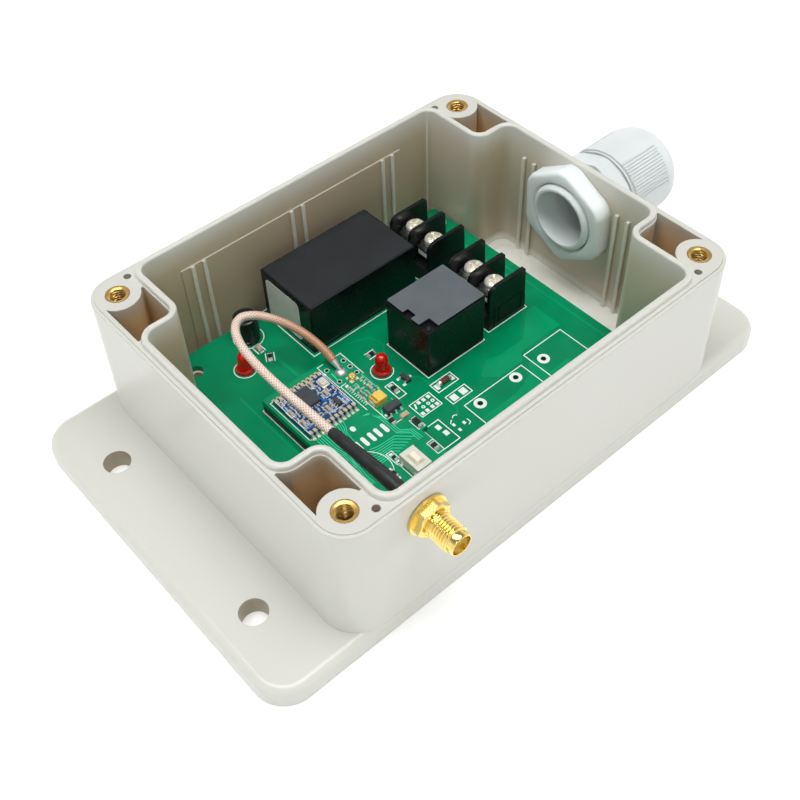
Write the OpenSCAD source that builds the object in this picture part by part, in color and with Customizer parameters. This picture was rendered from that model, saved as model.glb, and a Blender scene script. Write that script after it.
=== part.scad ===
// Radio relay receiver in the open base of a wall-mount enclosure.
// Sizes are millimetres. X runs from ear to ear with the cable gland at +X,
// the antenna socket is in the -Y wall and Z points up from the mounting face.

/* [Enclosure] */
// Length over both mounting ears
ear_span = 158; // [150:1:170]
// Width of the ears and of the foot of the body
ear_w = 95.4; // [94:0.2:104]
// Thickness of the ears
ear_t = 5.5; // [4:0.5:8]
// Radius of the ear corners in plan
ear_corner_r = 8; // [6:0.5:12]
// Rounding along the top edge of the ears
ear_edge_r = 2; // [1:0.25:2.5]
// Distance between the mounting holes along Y
ear_hole_dy = 54; // [40:1:70]
// Diameter of the mounting holes
ear_hole_d = 6.6; // [4:0.2:8]
// Length of the body at its foot
foot_l = 119.2; // [117:0.2:124]
// Width of the body at its foot
foot_w = 94.8; // [94:0.2:98]
// Inward lean of each outer wall from foot to rim
wall_draft = 0.9; // [0:0.1:1.2]
// Radius of the body corners in plan, at the foot
body_corner_r = 8.4; // [8:0.1:9]
// Height of the rim that a lid would rest on
rim_z = 39.7; // [39:0.1:46]
// Thickness of the walls at the rim
wall_t = 3.2; // [3:0.1:3.6]
// Thickness of the floor
floor_t = 3; // [2:0.5:4]

/* [Rim and lid posts] */
// Height of the raised inner lip above the rim
lip_h = 1.5; // [1:0.1:2.5]
// Thickness of the raised inner lip
lip_t = 1.5; // [1.2:0.1:1.8]
// Width of the low step along the outside of the rim
step_w = 0.8; // [0.4:0.1:1]
// Depth of that step
step_h = 0.4; // [0.2:0.1:0.8]
// Distance from the rim's outside to a lid post's axis, along X
post_inset_x = 6.4; // [6:0.1:7]
// Distance from the rim's outside to a lid post's axis, along Y
post_inset_y = 6.5; // [6:0.1:7]
// Radius of a lid post
post_r = 5.35; // [5:0.05:5.6]
// Length of the corner blocks, inwards from the cavity wall along X
block_l = 10.6; // [9:0.2:11]
// Width of the corner blocks, inwards from the cavity wall along Y
block_w = 19.1; // [16:0.2:20]
// Thickness of the corner blocks' walls
block_wall_t = 1.8; // [1.7:0.1:2.1]
// Thickness of the outer skin beside a corner pocket
pocket_skin_t = 1.8; // [1.5:0.1:2]
// Outside diameter of the threaded inserts
insert_d = 5.6; // [5:0.1:6]
// Minor diameter of the inserts' thread
insert_bore_d = 3.3; // [3:0.1:4]
// Length of the inserts
insert_h = 8; // [5:0.5:10]
// Diameter of the guide hole beside each insert
guide_hole_d = 1.8; // [1.4:0.1:2.2]

/* [Circuit board] */
// Gap between the board and the corner blocks
board_gap_x = 0.6; // [0.3:0.1:2]
// Gap between the board and the long walls
board_gap_y = 2.8; // [1:0.1:3]
// Board thickness
board_t = 1.6; // [1:0.2:2]
// Height of the posts under the board
stand_h = 5; // [4:0.5:7]
// Diameter of those posts
stand_d = 6.5; // [5.5:0.5:7]
// Diameter of the board's mounting holes
board_hole_d = 3.6; // [3.2:0.1:4]
// Distance from the board's short edge to a mounting hole
board_hole_x = 3.6; // [3.4:0.1:5]
// Distance from the board's long edge to a mounting hole
board_hole_y = 6; // [5:0.5:8]
// Shank diameter of the board screws
board_screw_d = 2.4; // [2:0.1:2.9]
// Head diameter of the board screws
board_screw_head_d = 5.4; // [4.8:0.1:6]

/* [Power module and relay] */
// Length of the mains power module
psu_l = 34; // [30:0.5:36]
// Width of the power module
psu_w = 20; // [18:0.5:22]
// Height of the power module
psu_h = 15; // [12:0.5:18]
// Length of the relay
relay_l = 18.8; // [18:0.1:20]
// Width of the relay
relay_w = 15.2; // [15:0.1:16]
// Height of the relay
relay_h = 15.6; // [14:0.1:17]

/* [Screw terminals] */
// Spacing of the terminal screws
pole_pitch = 7.2; // [6.8:0.1:7.6]
// Depth of a terminal block along X
block_depth = 12.8; // [11.5:0.1:14]
// Height of the barriers above the board
barrier_h = 13.9; // [12.5:0.1:15]
// Thickness of a barrier
barrier_t = 1; // [0.8:0.1:1.3]
// Height of the contact seat above the board
seat_h = 8; // [7:0.1:9]
// How far the seats stand back from the front of the barriers
seat_inset = 2.6; // [2.2:0.1:3]
// Length of the seats along X
seat_l = 6.8; // [6.4:0.1:7.2]
// Head diameter of a terminal screw
terminal_head_d = 4.9; // [4.6:0.1:5.2]
// Head height of a terminal screw
terminal_head_h = 1.8; // [1.4:0.1:2.2]
// Shank diameter of a terminal screw
terminal_shank_d = 3; // [2.5:0.1:3.2]
// Radial running clearance of a terminal screw
screw_clear = 0.06; // [0.03:0.01:0.1]

/* [Radio board] */
// Length of the radio board along Y
radio_w = 45; // [44:0.5:46]
// Width of the radio board along X
radio_l = 23.5; // [23:0.1:24]
// Thickness of the radio board
radio_t = 1.6; // [1:0.2:2]
// Height of the socket strips between the boards
header_h = 2.5; // [2:0.1:4]
// Side of the square radio module
rf_side = 14; // [13.5:0.25:14.5]
// Thickness of the radio module's board
rf_t = 1; // [0.8:0.1:1.2]
// Travel of the learn button
button_travel = 0.25; // [0.1:0.05:0.4]

/* [Small parts] */
// Diameter of the smoothing capacitor
cap_d = 6.3; // [5:0.1:7]
// Height of the smoothing capacitor
cap_h = 7.7; // [6:0.1:10]
// Diameter of an indicator lamp's lens
led_d = 3.1; // [2.8:0.1:3.4]
// Diameter of an indicator lamp's collar
led_collar_d = 4.6; // [3.8:0.1:5]
// Height of an indicator lamp
led_h = 6.4; // [5:0.1:8]

/* [Antenna socket] */
// Position of the socket along the -Y wall
antenna_x = -37.8; // [-38:0.1:-34]
// Height of the socket's axis
antenna_z = 31.9; // [31:0.1:32]
// Diameter of the socket's thread
antenna_thread_d = 6.3; // [6:0.05:6.5]
// Length of the socket outside the wall
antenna_reach = 10; // [9:0.5:12]
// Size across flats of the socket's nut and flange
antenna_af = 8; // [7.5:0.5:8]
// Thickness of the socket's nut
antenna_nut_t = 2.2; // [2:0.1:2.6]
// Diameter of the washer under the nut
antenna_washer_d = 9.8; // [9.3:0.1:10]

/* [Cable gland] */
// Height of the gland's axis
gland_z = 27; // [26:0.1:27.2]
// Diameter of the gland's thread
gland_thread_d = 20; // [19:0.5:20.5]
// Diameter at the root of that thread, which shows at the locknut
gland_root_d = 18.2; // [17.8:0.1:18.6]
// Diameter of the bore through the gland's body
gland_bore_d = 15.2; // [13:0.1:15.6]
// Size across flats of the hexagon outside the wall
gland_af = 21; // [20.5:0.1:23]
// Width of that hexagon along the axis
gland_hex_t = 5.4; // [5:0.1:7]
// Size across flats of the locknut inside the wall
locknut_af = 24.5; // [23.5:0.5:27]
// Thickness of the locknut
locknut_t = 5; // [4:0.5:6]
// Diameter of the cap nut
gland_cap_d = 22.8; // [22.6:0.1:24]
// Length of the cap nut
gland_cap_l = 19.2; // [18:0.1:20]
// Hole through the rubber seal, the smallest cable it grips
seal_bore_d = 9; // [6:0.5:10]

/* [Hidden] */
$fn = 64;
slop = 0.02;

// Body and rim
rim_l = foot_l - 2 * wall_draft;
rim_w = foot_w - 2 * wall_draft;
cavity_x = rim_l / 2 - wall_t;
cavity_y = rim_w / 2 - wall_t;
block_x = cavity_x - block_l;
block_y = cavity_y - block_w;
block_round = 4;
cavity_round = 3;
lip_round = 0.65;
lip_top = rim_z + lip_h;
post_x = rim_l / 2 - post_inset_x;
post_y = rim_w / 2 - post_inset_y;
pocket_floor_z = ear_t + 0.5;
ear_hole_x = (ear_span + foot_l) / 4;
guide_dx = -4.8;
guide_dy = 3.5;
guide_depth = 6;

// Ribs down the inside of the walls
rib_t = 1;
rib_out = 0.9;
rib_top_z = rim_z - 6;
long_wall_ribs = [-31.5, -28.2, -1.75, 1.75, 28.2, 31.5];
field_top_z = rim_z - 6.6;
field_t = 0.3;
wall_fields = [[1, -34.5, 34.5], [-1, -33, 34.5]];
short_wall_ribs = [-17.5, -14, 14, 17.5];

// Circuit board
board_l = 2 * (block_x - board_gap_x);
board_w = 2 * (cavity_y - board_gap_y);
board_z = floor_t + stand_h;
top_z = board_z + board_t;
hole_x = board_l / 2 - board_hole_x;
hole_y = board_w / 2 - board_hole_y;
screw_hole_gap = 0.05;
pin_gap = 0.15;
pin_below = 1.2;

// Power module and relay; the relay and the terminals move with the board's +X end
parts_dx = 0.45 * (board_l / 2 - 44.3);
psu_x = 1.6;
psu_y = board_w / 2 - 1.1 - psu_w / 2;
psu_pin_r = 0.5;
psu_pins = [
    [-psu_l / 2 + 2.3, 7.7], [-psu_l / 2 + 2.3, -7.7],
    [psu_l / 2 - 2.3, 5.6], [psu_l / 2 - 2.3, 0.6]
];
relay_x = 9.3 + parts_dx;
relay_y = 1.7;
relay_foot_h = 0.3;
relay_pin_r = 0.5;
relay_pins = [[7.5, 6], [7.5, -6], [-4.6, 6], [-4.6, -6], [-7, 0]];

// Screw terminals
terminal_x = relay_x + relay_l / 2 + 3;
terminal_y = [17.6, -4.5];
block_width = 2 * pole_pitch + barrier_t;
pole_x = terminal_x + 5.5;
pin_dx = 2.4;
plate_t = 0.8;
clamp_t = 1;
seat_drop = 3.5;
head_gap = 0.05;
head_z = top_z + seat_h + plate_t + clamp_t + head_gap;
terminal_shank_l = 6;
pole_y = [for (y0 = terminal_y, k = [0, 1]) y0 + barrier_t / 2 + (k + 0.5) * pole_pitch];
pad_holes = [[24.9, -20.5], [15.5, -20.2], [3.4, -20.3]];

// Radio board and what stands on it
radio_x = -24.45;
radio_y = -9.8;
radio_z = top_z + header_h;
radio_top = radio_z + radio_t;
rf_x = -27.9;
rf_y = 3;
radio_notch = [1.8, 12.9];
rf_top = radio_top + rf_t;
pad_pitch = 1.27;
header_pitch = 2.54;
header_edge = radio_x - radio_l / 2 + header_pitch / 2;
header_rows = [[header_edge, 11.3, 17], [header_edge + 7 * header_pitch, -16.6, 6]];
header_pins = [for (row = header_rows, k = [0:row[2] - 1]) [row[0], row[1] - k * header_pitch]];
header_pin_r = 0.35;
switch_x = -22.4;
switch_y = -26.1;
switch_l = 4.1;
switch_w = 6.4;
switch_h = 2.8;
button_l = 2.2;
button_w = 3.6;
button_h = 0.9;
button_gap = 0.08;
free_holes = [[-19, 9.7], [-19, 4.9], [-14, 9.5], [-14, 6.96], [-14, 4.42]];
solder_x = -16.7;
solder_y = 7.1;

// Capacitor and indicator lamps
cap_x = -24.3;
cap_y = 35.2;
lead_r = 0.3;
led_places = [[-31.4, 26.8], [-7, 3.5]];

// Antenna socket; y_wall is the outermost wall face beside it
wall_lean = wall_draft / rim_z;
y_wall = -(foot_w / 2 - wall_lean * (antenna_z - antenna_washer_d / 2));
antenna_washer_t = 0.6;
antenna_tip = y_wall - antenna_reach;
socket_flange_t = 2;
socket_hole_gap = 0.05;
ferrule_r = 1.6;
ferrule_l = 3;
collar_l = 1.6;
relief_l = 0.8;
relief_depth = 0.35;

// Coax pigtail: hand-chosen route from the solder joint to the ferrule
coax_d = 2.2;
coax_route = [
    [-16.8, 9.8, 15.8], [-17, 12.5, 17.2], [-17.7, 16, 18.7],
    [-19, 19.7, 20.3], [-21, 23, 21.8], [-23.4, 25.8, 23.1], [-26, 27.6, 24.2],
    [-28.7, 28.2, 25], [-31.3, 27, 25.6], [-33.4, 24.3, 26.1], [-34.9, 20.6, 26.6],
    [-36, 16, 27.1], [-36.8, 10.5, 27.8], [-37.3, 4.5, 28.5], [-37.6, -2, 29.2],
    [-37.7, -8.5, 29.8], [-37.8, -13.5, 30.2], [-37.8, -17.3, 30.5]
];
sleeve_route = [
    [-37.8, -17.3, 30.5], [-37.8, -22, 30.9], [-37.8, -27, 31.3], [-37.8, -32, 31.7],
    [-37.8, -35.2, 31.9], [-37.8, -38.25, 31.9]
];
sleeve_d = 3.4;
coax_sides = 8;

// Cable gland; x_wall is the outermost wall face beside it
x_wall = foot_l / 2 - wall_lean * (gland_z - gland_thread_d / 2 - 2);
gland_gap = 0.2;
gasket_t = 1.2;
hex_x = x_wall + gasket_t;
tube_out = 0.6;
tube_end_x = cavity_x - locknut_t - tube_out;
tube_lead = 0.8;
neck_l = 12;
neck_r = gland_cap_d / 2 - 2;
cap_x0 = hex_x + gland_hex_t + 0.4;
cap_gap = 0.3;
cap_dome = 6.2;
claw_l = 7;
claw_x = hex_x + gland_hex_t + neck_l;
cap_mouth_d = 15;

// Colours, as the photograph shows them
abs_grey = [0.85, 0.84, 0.80];
brass = [0.85, 0.65, 0.30];
mask_green = [0.02, 0.50, 0.36];
case_black = [0.08, 0.09, 0.10];
steel = [0.78, 0.78, 0.76];
tin = [0.86, 0.87, 0.86];
lamp_red = [0.80, 0.08, 0.06];
gold = [0.83, 0.66, 0.25];
nylon = [0.85, 0.89, 0.90];

// Plan shapes

module rounded_rect(l, w, r) {
    square([l - 2 * r, w], center = true);
    square([l, w - 2 * r], center = true);
    for (sx = [-1, 1], sy = [-1, 1])
        translate([sx * (l / 2 - r), sy * (w / 2 - r)]) circle(r);
}

module each_corner() {
    for (sx = [-1, 1], sy = [-1, 1]) scale([sx, sy, 1]) children();
}

// The cavity in plan, grown outwards by g; the corner blocks stand in its corners
module cavity_plan(g = 0) {
    round_out = block_round - g;
    rounded_rect(2 * (cavity_x + g), 2 * (block_y + g), cavity_round + g);
    rounded_rect(2 * (block_x + g), 2 * (cavity_y + g), cavity_round + g);
    for (sx = [-1, 1], sy = [-1, 1])
        translate([sx * (block_x + g), sy * (block_y + g)])
            difference() {
                square(2 * round_out, center = true);
                translate([sx * round_out, sy * round_out]) circle(round_out);
                translate([-sx * round_out, -sy * round_out]) square(2 * round_out, center = true);
            }
}

// Plate with rounded corners and a rounded top edge
module soft_plate(l, w, r, h, edge) {
    linear_extrude(h - edge) rounded_rect(l, w, r);
    linear_extrude(h) rounded_rect(l - 2 * edge, w - 2 * edge, r - edge);
    for (sy = [-1, 1]) translate([0, sy * (w / 2 - edge), h - edge])
        rotate([0, 90, 0]) cylinder(r = edge, h = l - 2 * r, center = true);
    for (sx = [-1, 1]) translate([sx * (l / 2 - edge), 0, h - edge])
        rotate([90, 0, 0]) cylinder(r = edge, h = w - 2 * r, center = true);
    for (sx = [-1, 1], sy = [-1, 1]) translate([sx * (l / 2 - r), sy * (w / 2 - r), h - edge])
        rotate_extrude() translate([r - edge, 0]) intersection() {
            circle(edge);
            translate([0, -edge]) square([edge, 2 * edge]);
        }
}

// Enclosure

// Body with rounded corners, its walls leaning in between foot and rim
module drafted_body() {
    cx = foot_l / 2 - body_corner_r;
    cy = foot_w / 2 - body_corner_r;
    for (sx = [-1, 1], sy = [-1, 1]) translate([sx * cx, sy * cy, 0])
        cylinder(r1 = body_corner_r, r2 = body_corner_r - wall_draft, h = rim_z);
    rotate([90, 0, 0]) linear_extrude(2 * cy, center = true) wall_profile(foot_l, rim_l);
    rotate([90, 0, 90]) linear_extrude(2 * cx, center = true) wall_profile(foot_w, rim_w);
}

module wall_profile(foot, rim) {
    polygon([[-foot / 2, 0], [foot / 2, 0], [rim / 2, rim_z], [-rim / 2, rim_z]]);
}

// Section of the lip: flat sides and a round top, from the cavity face outwards
module lip_section() {
    translate([0, -slop]) square([lip_t, lip_h - lip_round + slop]);
    translate([lip_round, 0]) square([lip_t - 2 * lip_round, lip_h]);
    for (x = [lip_round, lip_t - lip_round]) translate([x, lip_h - lip_round]) circle(lip_round);
}

// Straight run of lip along +Y from the origin, with the cavity on its -X side
module lip_run(length) {
    rotate([90, 0, 180]) mirror([1, 0, 0]) linear_extrude(length) lip_section();
}

// A quarter turn of lip about the origin; r is the radius of the cavity face
module lip_turn(r) { rotate_extrude(angle = 90) translate([r, 0]) lip_section(); }
module lip_turn_back(r) { rotate_extrude(angle = 90) translate([r, 0]) mirror([1, 0]) lip_section(); }

module lip_quarter() {
    c = cavity_round;
    b = block_round;
    translate([cavity_x, 0, 0]) lip_run(block_y - c);
    translate([cavity_x - c, block_y - c, 0]) lip_turn(c);
    translate([cavity_x - c, block_y, 0]) rotate([0, 0, 90]) lip_run(cavity_x - c - block_x - b);
    translate([block_x + b, block_y + b, 0]) rotate([0, 0, 180]) lip_turn_back(b);
    translate([block_x, block_y + b, 0]) lip_run(cavity_y - c - block_y - b);
    translate([block_x - c, cavity_y - c, 0]) lip_turn(c);
    translate([block_x - c, cavity_y, 0]) rotate([0, 0, 90]) lip_run(block_x - c);
}

// Open pocket between a corner block's wall, which follows the lip, and the outer skin
module corner_pocket() {
    x1 = rim_l / 2 - pocket_skin_t;
    linear_extrude(rim_z) difference() {
        translate([block_x, block_y]) square([x1 - block_x, post_y - 1.8 - block_y]);
        cavity_plan(block_wall_t);
        translate([post_x, post_y]) circle(post_r);
    }
}

// Each long wall has a shallow raised field with the ribs on it
module wall_ribs() {
    h = rib_top_z - floor_t + slop;
    field_h = field_top_z - floor_t + slop;
    for (f = wall_fields)
        translate([(f[1] + f[2]) / 2, f[0] * (cavity_y - field_t / 2 + slop / 2), floor_t - slop])
            linear_extrude(field_h) square([f[2] - f[1], field_t + slop], center = true);
    for (sy = [-1, 1], x = long_wall_ribs) translate([x, sy * cavity_y, floor_t - slop]) {
        linear_extrude(field_h) translate([0, -sy * (rib_out / 2 - slop)])
            square([rib_t, rib_out + slop], center = true);
    }
    for (sx = [-1, 1], y = short_wall_ribs) translate([sx * cavity_x, y, floor_t - slop]) {
        linear_extrude(h) translate([-sx * (rib_out / 2 - slop), 0])
            square([rib_out + slop, rib_t], center = true);
    }
}

module board_stand() {
    difference() {
        cylinder(d = stand_d, h = stand_h + slop);
        translate([0, 0, 0.5]) cylinder(d = board_screw_d + 2 * screw_hole_gap, h = stand_h + 1);
    }
}

module enclosure_base() {
    color(abs_grey) union() {
        difference() {
            union() {
                soft_plate(ear_span, ear_w, ear_corner_r, ear_t, ear_edge_r);
                drafted_body();
            }
            translate([0, 0, floor_t]) linear_extrude(rim_z) cavity_plan();
            translate([0, 0, pocket_floor_z]) each_corner() corner_pocket();
            translate([0, 0, rim_z - step_h]) linear_extrude(step_h + 1) difference() {
                square([ear_span, ear_span], center = true);
                rounded_rect(rim_l - 2 * step_w, rim_w - 2 * step_w,
                    body_corner_r - wall_draft - step_w);
            }
            for (sx = [-1, 1], sy = [-1, 1]) {
                translate([sx * post_x, sy * post_y, rim_z - insert_h])
                    cylinder(d = insert_d, h = insert_h + 1);
                translate([sx * (post_x + guide_dx), sy * (post_y + guide_dy), rim_z - guide_depth])
                    cylinder(d = guide_hole_d, h = guide_depth + 1);
                translate([sx * ear_hole_x, sy * ear_hole_dy / 2, -1])
                    cylinder(d = ear_hole_d, h = ear_t + 2);
            }
            translate([cavity_x - 1, 0, gland_z]) rotate([0, 90, 0])
                cylinder(d = gland_thread_d + 2 * gland_gap, h = wall_t + 8);
            translate([antenna_x, -cavity_y + 1, antenna_z]) rotate([90, 0, 0])
                cylinder(d = antenna_thread_d + 2 * socket_hole_gap, h = wall_t + 8);
        }
        translate([0, 0, rim_z]) each_corner() lip_quarter();
        wall_ribs();
        for (sx = [-1, 1], sy = [-1, 1]) translate([sx * hole_x, sy * hole_y, floor_t - slop])
            board_stand();
    }
}

module lid_inserts() {
    chamfer = 0.5;
    color(brass) for (sx = [-1, 1], sy = [-1, 1])
        translate([sx * post_x, sy * post_y, rim_z - insert_h]) difference() {
            cylinder(d = insert_d, h = insert_h);
            translate([0, 0, -1]) cylinder(d = insert_bore_d, h = insert_h + 2);
            translate([0, 0, insert_h - chamfer])
                cylinder(d1 = insert_bore_d, d2 = insert_bore_d + 2 * chamfer + slop, h = chamfer + slop);
        }
}

// Main board

module main_board() {
    color(mask_green) difference() {
        translate([0, 0, board_z]) linear_extrude(board_t) rounded_rect(board_l, board_w, 0.8);
        for (sx = [-1, 1], sy = [-1, 1]) translate([sx * hole_x, sy * hole_y, board_z - 1])
            cylinder(d = board_hole_d, h = board_t + 2);
        for (p = pad_holes) translate([p[0], p[1], board_z - 1]) cylinder(d = 1.4, h = board_t + 2);
        for (p = psu_pins) lead_hole([psu_x + p[0], psu_y + p[1]], psu_pin_r);
        for (p = relay_pins) lead_hole([relay_x + p[0], relay_y + p[1]], relay_pin_r);
        for (y = pole_y) lead_hole([pole_x + pin_dx, y], plate_t / 2);
        for (p = led_places, s = [-1, 1]) lead_hole([p[0] + s * 1.27, p[1]], lead_r);
        for (s = [-1, 1]) lead_hole([cap_x + s * 1.25, cap_y], lead_r);
        for (p = header_pins) lead_hole(p, header_pin_r);
    }
}

module lead_hole(p, r) {
    translate([p[0], p[1], board_z - 1]) cylinder(r = r + pin_gap, h = board_t + 2, $fn = 24);
}

// A lead through the board, from height z0 down to its trimmed end
module lead(p, r, z0) {
    translate([p[0], p[1], board_z - pin_below])
        cylinder(r = r, h = z0 - board_z + pin_below, $fn = 24);
}

module board_screws() {
    head_h = 2;
    color(steel) for (s = [[-1, -1], [1, -1], [1, 1]])
        translate([s[0] * hole_x, s[1] * hole_y, top_z]) difference() {
        union() {
            intersection() {
                cylinder(d = board_screw_head_d, h = head_h);
                translate([0, 0, head_h - board_screw_head_d * 0.9]) sphere(r = board_screw_head_d * 0.9);
            }
            translate([0, 0, -board_t - 3.5]) cylinder(d = board_screw_d, h = board_t + 3.5 + slop);
        }
        for (a = [0, 90]) rotate([0, 0, a]) translate([0, 0, head_h])
            cube([3.2, 0.7, 2.2], center = true);
    }
}

// Power module and relay

module power_module() {
    edge = 0.4;
    color(case_black) translate([psu_x, psu_y, top_z]) {
        linear_extrude(psu_h - edge) rounded_rect(psu_l, psu_w, edge);
        translate([0, 0, psu_h - edge])
            linear_extrude(edge) rounded_rect(psu_l - 2 * edge, psu_w - 2 * edge, edge);
        for (sy = [-1, 1]) translate([0, sy * (psu_w / 2 - edge), psu_h - edge])
            rotate([0, 90, 0]) cylinder(r = edge, h = psu_l - 2 * edge, center = true, $fn = 24);
        for (sx = [-1, 1]) translate([sx * (psu_l / 2 - edge), 0, psu_h - edge])
            rotate([90, 0, 0]) cylinder(r = edge, h = psu_w - 2 * edge, center = true, $fn = 24);
    }
}

module power_module_pins() {
    color(tin) for (p = psu_pins) lead([psu_x + p[0], psu_y + p[1]], psu_pin_r, top_z);
}

// The relay's cover has a sunk square in one top corner and a sunk slot beside it
module relay_case() {
    edge = 0.5;
    color(case_black) translate([relay_x, relay_y, top_z + relay_foot_h]) {
        difference() {
            union() {
                linear_extrude(relay_h - relay_foot_h - edge) rounded_rect(relay_l, relay_w, edge);
                linear_extrude(relay_h - relay_foot_h)
                    rounded_rect(relay_l - 2 * edge, relay_w - 2 * edge, edge);
            }
            translate([-relay_l / 2 - 1, -relay_w / 2 - 1, relay_h - relay_foot_h - 0.8])
                cube([4.2, 4.2, 2]);
            translate([-relay_l / 2 - 1, -1.2, relay_h - relay_foot_h - 0.8]) cube([2.8, 2.7, 2]);
        }
        for (sx = [-1, 1], sy = [-1, 1])
            translate([sx * (relay_l / 2 - 0.75), sy * (relay_w / 2 - 0.75), -relay_foot_h])
                cylinder(r = 0.6, h = relay_foot_h + slop, $fn = 24);
    }
}

module relay_pins() {
    color(tin) for (p = relay_pins)
        lead([relay_x + p[0], relay_y + p[1]], relay_pin_r, top_z + relay_foot_h);
}

// Screw terminals

// Two-pole barrier strip with its low corner at the origin
module terminal_block() {
    shank_r = terminal_shank_d / 2 + screw_clear;
    difference() {
        union() {
            cube([block_depth, block_width, seat_h - seat_drop]);
            translate([seat_inset, 0, 0]) cube([seat_l, block_width, seat_h]);
            for (k = [0:2]) translate([0, k * pole_pitch, 0]) barrier();
        }
        for (k = [0, 1]) translate([0, barrier_t / 2 + (k + 0.5) * pole_pitch, 0]) {
            translate([pole_x - terminal_x, 0, seat_h - terminal_shank_l])
                cylinder(r = shank_r, h = terminal_shank_l + 1);
            translate([pole_x - terminal_x + pin_dx, 0, -1])
                cylinder(r = plate_t / 2 + pin_gap, h = seat_h + 2, $fn = 24);
        }
    }
}

// Side view of a barrier: a large round at its top in front, a small one at the back
module barrier() {
    front_r = 2.4;
    back_r = 0.8;
    lean = 0.5;
    rotate([90, 0, 0]) translate([0, 0, -barrier_t]) linear_extrude(barrier_t) {
        translate([front_r, 0]) square([block_depth - lean - back_r - front_r, barrier_h]);
        polygon([
            [0, 0], [block_depth, 0], [block_depth - lean, barrier_h - back_r],
            [0, barrier_h - front_r]
        ]);
        translate([front_r, barrier_h - front_r]) circle(front_r);
        translate([block_depth - lean - back_r, barrier_h - back_r]) circle(back_r);
    }
}

module supply_terminal_block() {
    color(case_black) translate([terminal_x, terminal_y[0], top_z]) terminal_block();
}

module load_terminal_block() {
    color(case_black) translate([terminal_x, terminal_y[1], top_z]) terminal_block();
}

tongue_t = 0.7;
tongue_h = 1.5;
plate_x = terminal_x + seat_inset - tongue_t - 0.05;
plate_l = seat_l + tongue_t;
plate_w = pole_pitch - barrier_t - 0.4;

// Contact plates on the seats, each with a tongue bent down in front and a pin through the board
module terminal_plates() {
    color(tin) for (y = pole_y) {
        difference() {
            union() {
                translate([plate_x, y - plate_w / 2, top_z + seat_h]) cube([plate_l, plate_w, plate_t]);
                translate([plate_x, y - plate_w / 2 + 0.7, top_z + seat_h - tongue_h])
                    cube([tongue_t, plate_w - 1.4, tongue_h + slop]);
            }
            translate([pole_x, y, top_z]) cylinder(r = terminal_shank_d / 2 + screw_clear, h = seat_h + 3);
        }
        lead([pole_x + pin_dx, y], plate_t / 2, top_z + seat_h + slop);
    }
}

// Square captive clamps under the screw heads
module terminal_clamps() {
    side = plate_w - 0.3;
    color(steel) for (y = pole_y) translate([pole_x, y, top_z + seat_h + plate_t]) difference() {
        translate([-side / 2, -side / 2, 0]) cube([side, side, clamp_t]);
        translate([0, 0, -1]) cylinder(r = terminal_shank_d / 2 + screw_clear, h = clamp_t + 2);
    }
}

module terminal_screw(y) {
    length = terminal_shank_l + plate_t + clamp_t - 0.4;
    color(steel) translate([pole_x, y, head_z]) difference() {
        union() {
            intersection() {
                cylinder(d = terminal_head_d, h = terminal_head_h);
                translate([0, 0, terminal_head_h - terminal_head_d]) sphere(r = terminal_head_d);
            }
            translate([0, 0, -length]) cylinder(d = terminal_shank_d, h = length + slop);
        }
        for (a = [0, 90]) rotate([0, 0, a + 20]) translate([0, 0, terminal_head_h])
            cube([terminal_head_d - 0.8, 0.8, 2], center = true);
    }
}

module terminal_screw_1() { terminal_screw(pole_y[1]); }
module terminal_screw_2() { terminal_screw(pole_y[0]); }
module terminal_screw_3() { terminal_screw(pole_y[3]); }
module terminal_screw_4() { terminal_screw(pole_y[2]); }

// Capacitor, lamps and surface parts on the main board

module smoothing_capacitor() {
    r = cap_d / 2;
    color([0.10, 0.10, 0.13]) translate([cap_x, cap_y, top_z]) rotate_extrude()
        difference() {
            union() {
                square([r, 0.9]);
                square([r - 0.25, cap_h - 0.3]);
                translate([0, 1.5]) square([r, cap_h - 2]);
                translate([0, cap_h - 0.6]) square([r - 0.4, 0.6]);
                translate([r - 0.5, cap_h - 0.5]) circle(0.5, $fn = 24);
            }
            translate([0, cap_h - 0.25]) square([r - 1, 1]);
        }
    color(tin) for (s = [-1, 1]) lead([cap_x + s * 1.25, cap_y], lead_r, top_z);
}

module lamp(p) {
    r = led_d / 2;
    color(lamp_red) translate([p[0], p[1], top_z]) rotate_extrude() {
        square([led_collar_d / 2, 1.8]);
        square([r, led_h - r]);
        translate([0, led_h - r]) intersection() {
            circle(r);
            square(r);
        }
    }
    color(tin) for (s = [-1, 1]) lead([p[0] + s * 1.27, p[1]], lead_r, top_z);
}

module power_lamp() { lamp(led_places[0]); }
module status_lamp() { lamp(led_places[1]); }

// A chip part: ceramic body with a metal cap on each end, long side at the given angle
module chip_part(x, y, z, l, w, h, angle) {
    translate([x, y, z]) rotate([0, 0, angle]) {
        translate([-l / 2 + 0.3, -w / 2 + 0.03, 0.02]) cube([l - 0.6, w - 0.06, h - 0.04]);
        for (s = [-1, 1]) translate([s * (l / 2 - 0.2) - 0.2, -w / 2, 0]) cube([0.4, w, h]);
    }
}

// x, y, length, width, height, angle
main_chips = [
    [-24.8, 30.2, 2, 1.2, 0.8, 90], [-24.4, 26, 2, 1.2, 0.55, 60],
    [-5.3, 9.5, 2, 1.2, 0.55, 0], [-8.7, -2.9, 2, 1.2, 0.55, 90],
    [1.6, -9.6, 3.6, 1.7, 1.1, 0]
];

module main_board_chips() {
    color([0.35, 0.33, 0.30]) for (c = main_chips)
        chip_part(c[0] + (c[0] > -15 ? parts_dx : 0), c[1], top_z, c[2], c[3], c[4], c[5]);
}

module transistor(x, y, z, angle) {
    translate([x, y, z]) rotate([0, 0, angle]) {
        translate([-1.45, -0.65, 0.1]) cube([2.9, 1.3, 0.95]);
        for (s = [-1, 1]) translate([s * 0.95 - 0.2, -1.2, 0]) cube([0.4, 0.7, 0.3]);
        translate([-0.2, 0.5, 0]) cube([0.4, 0.7, 0.3]);
    }
}

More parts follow.
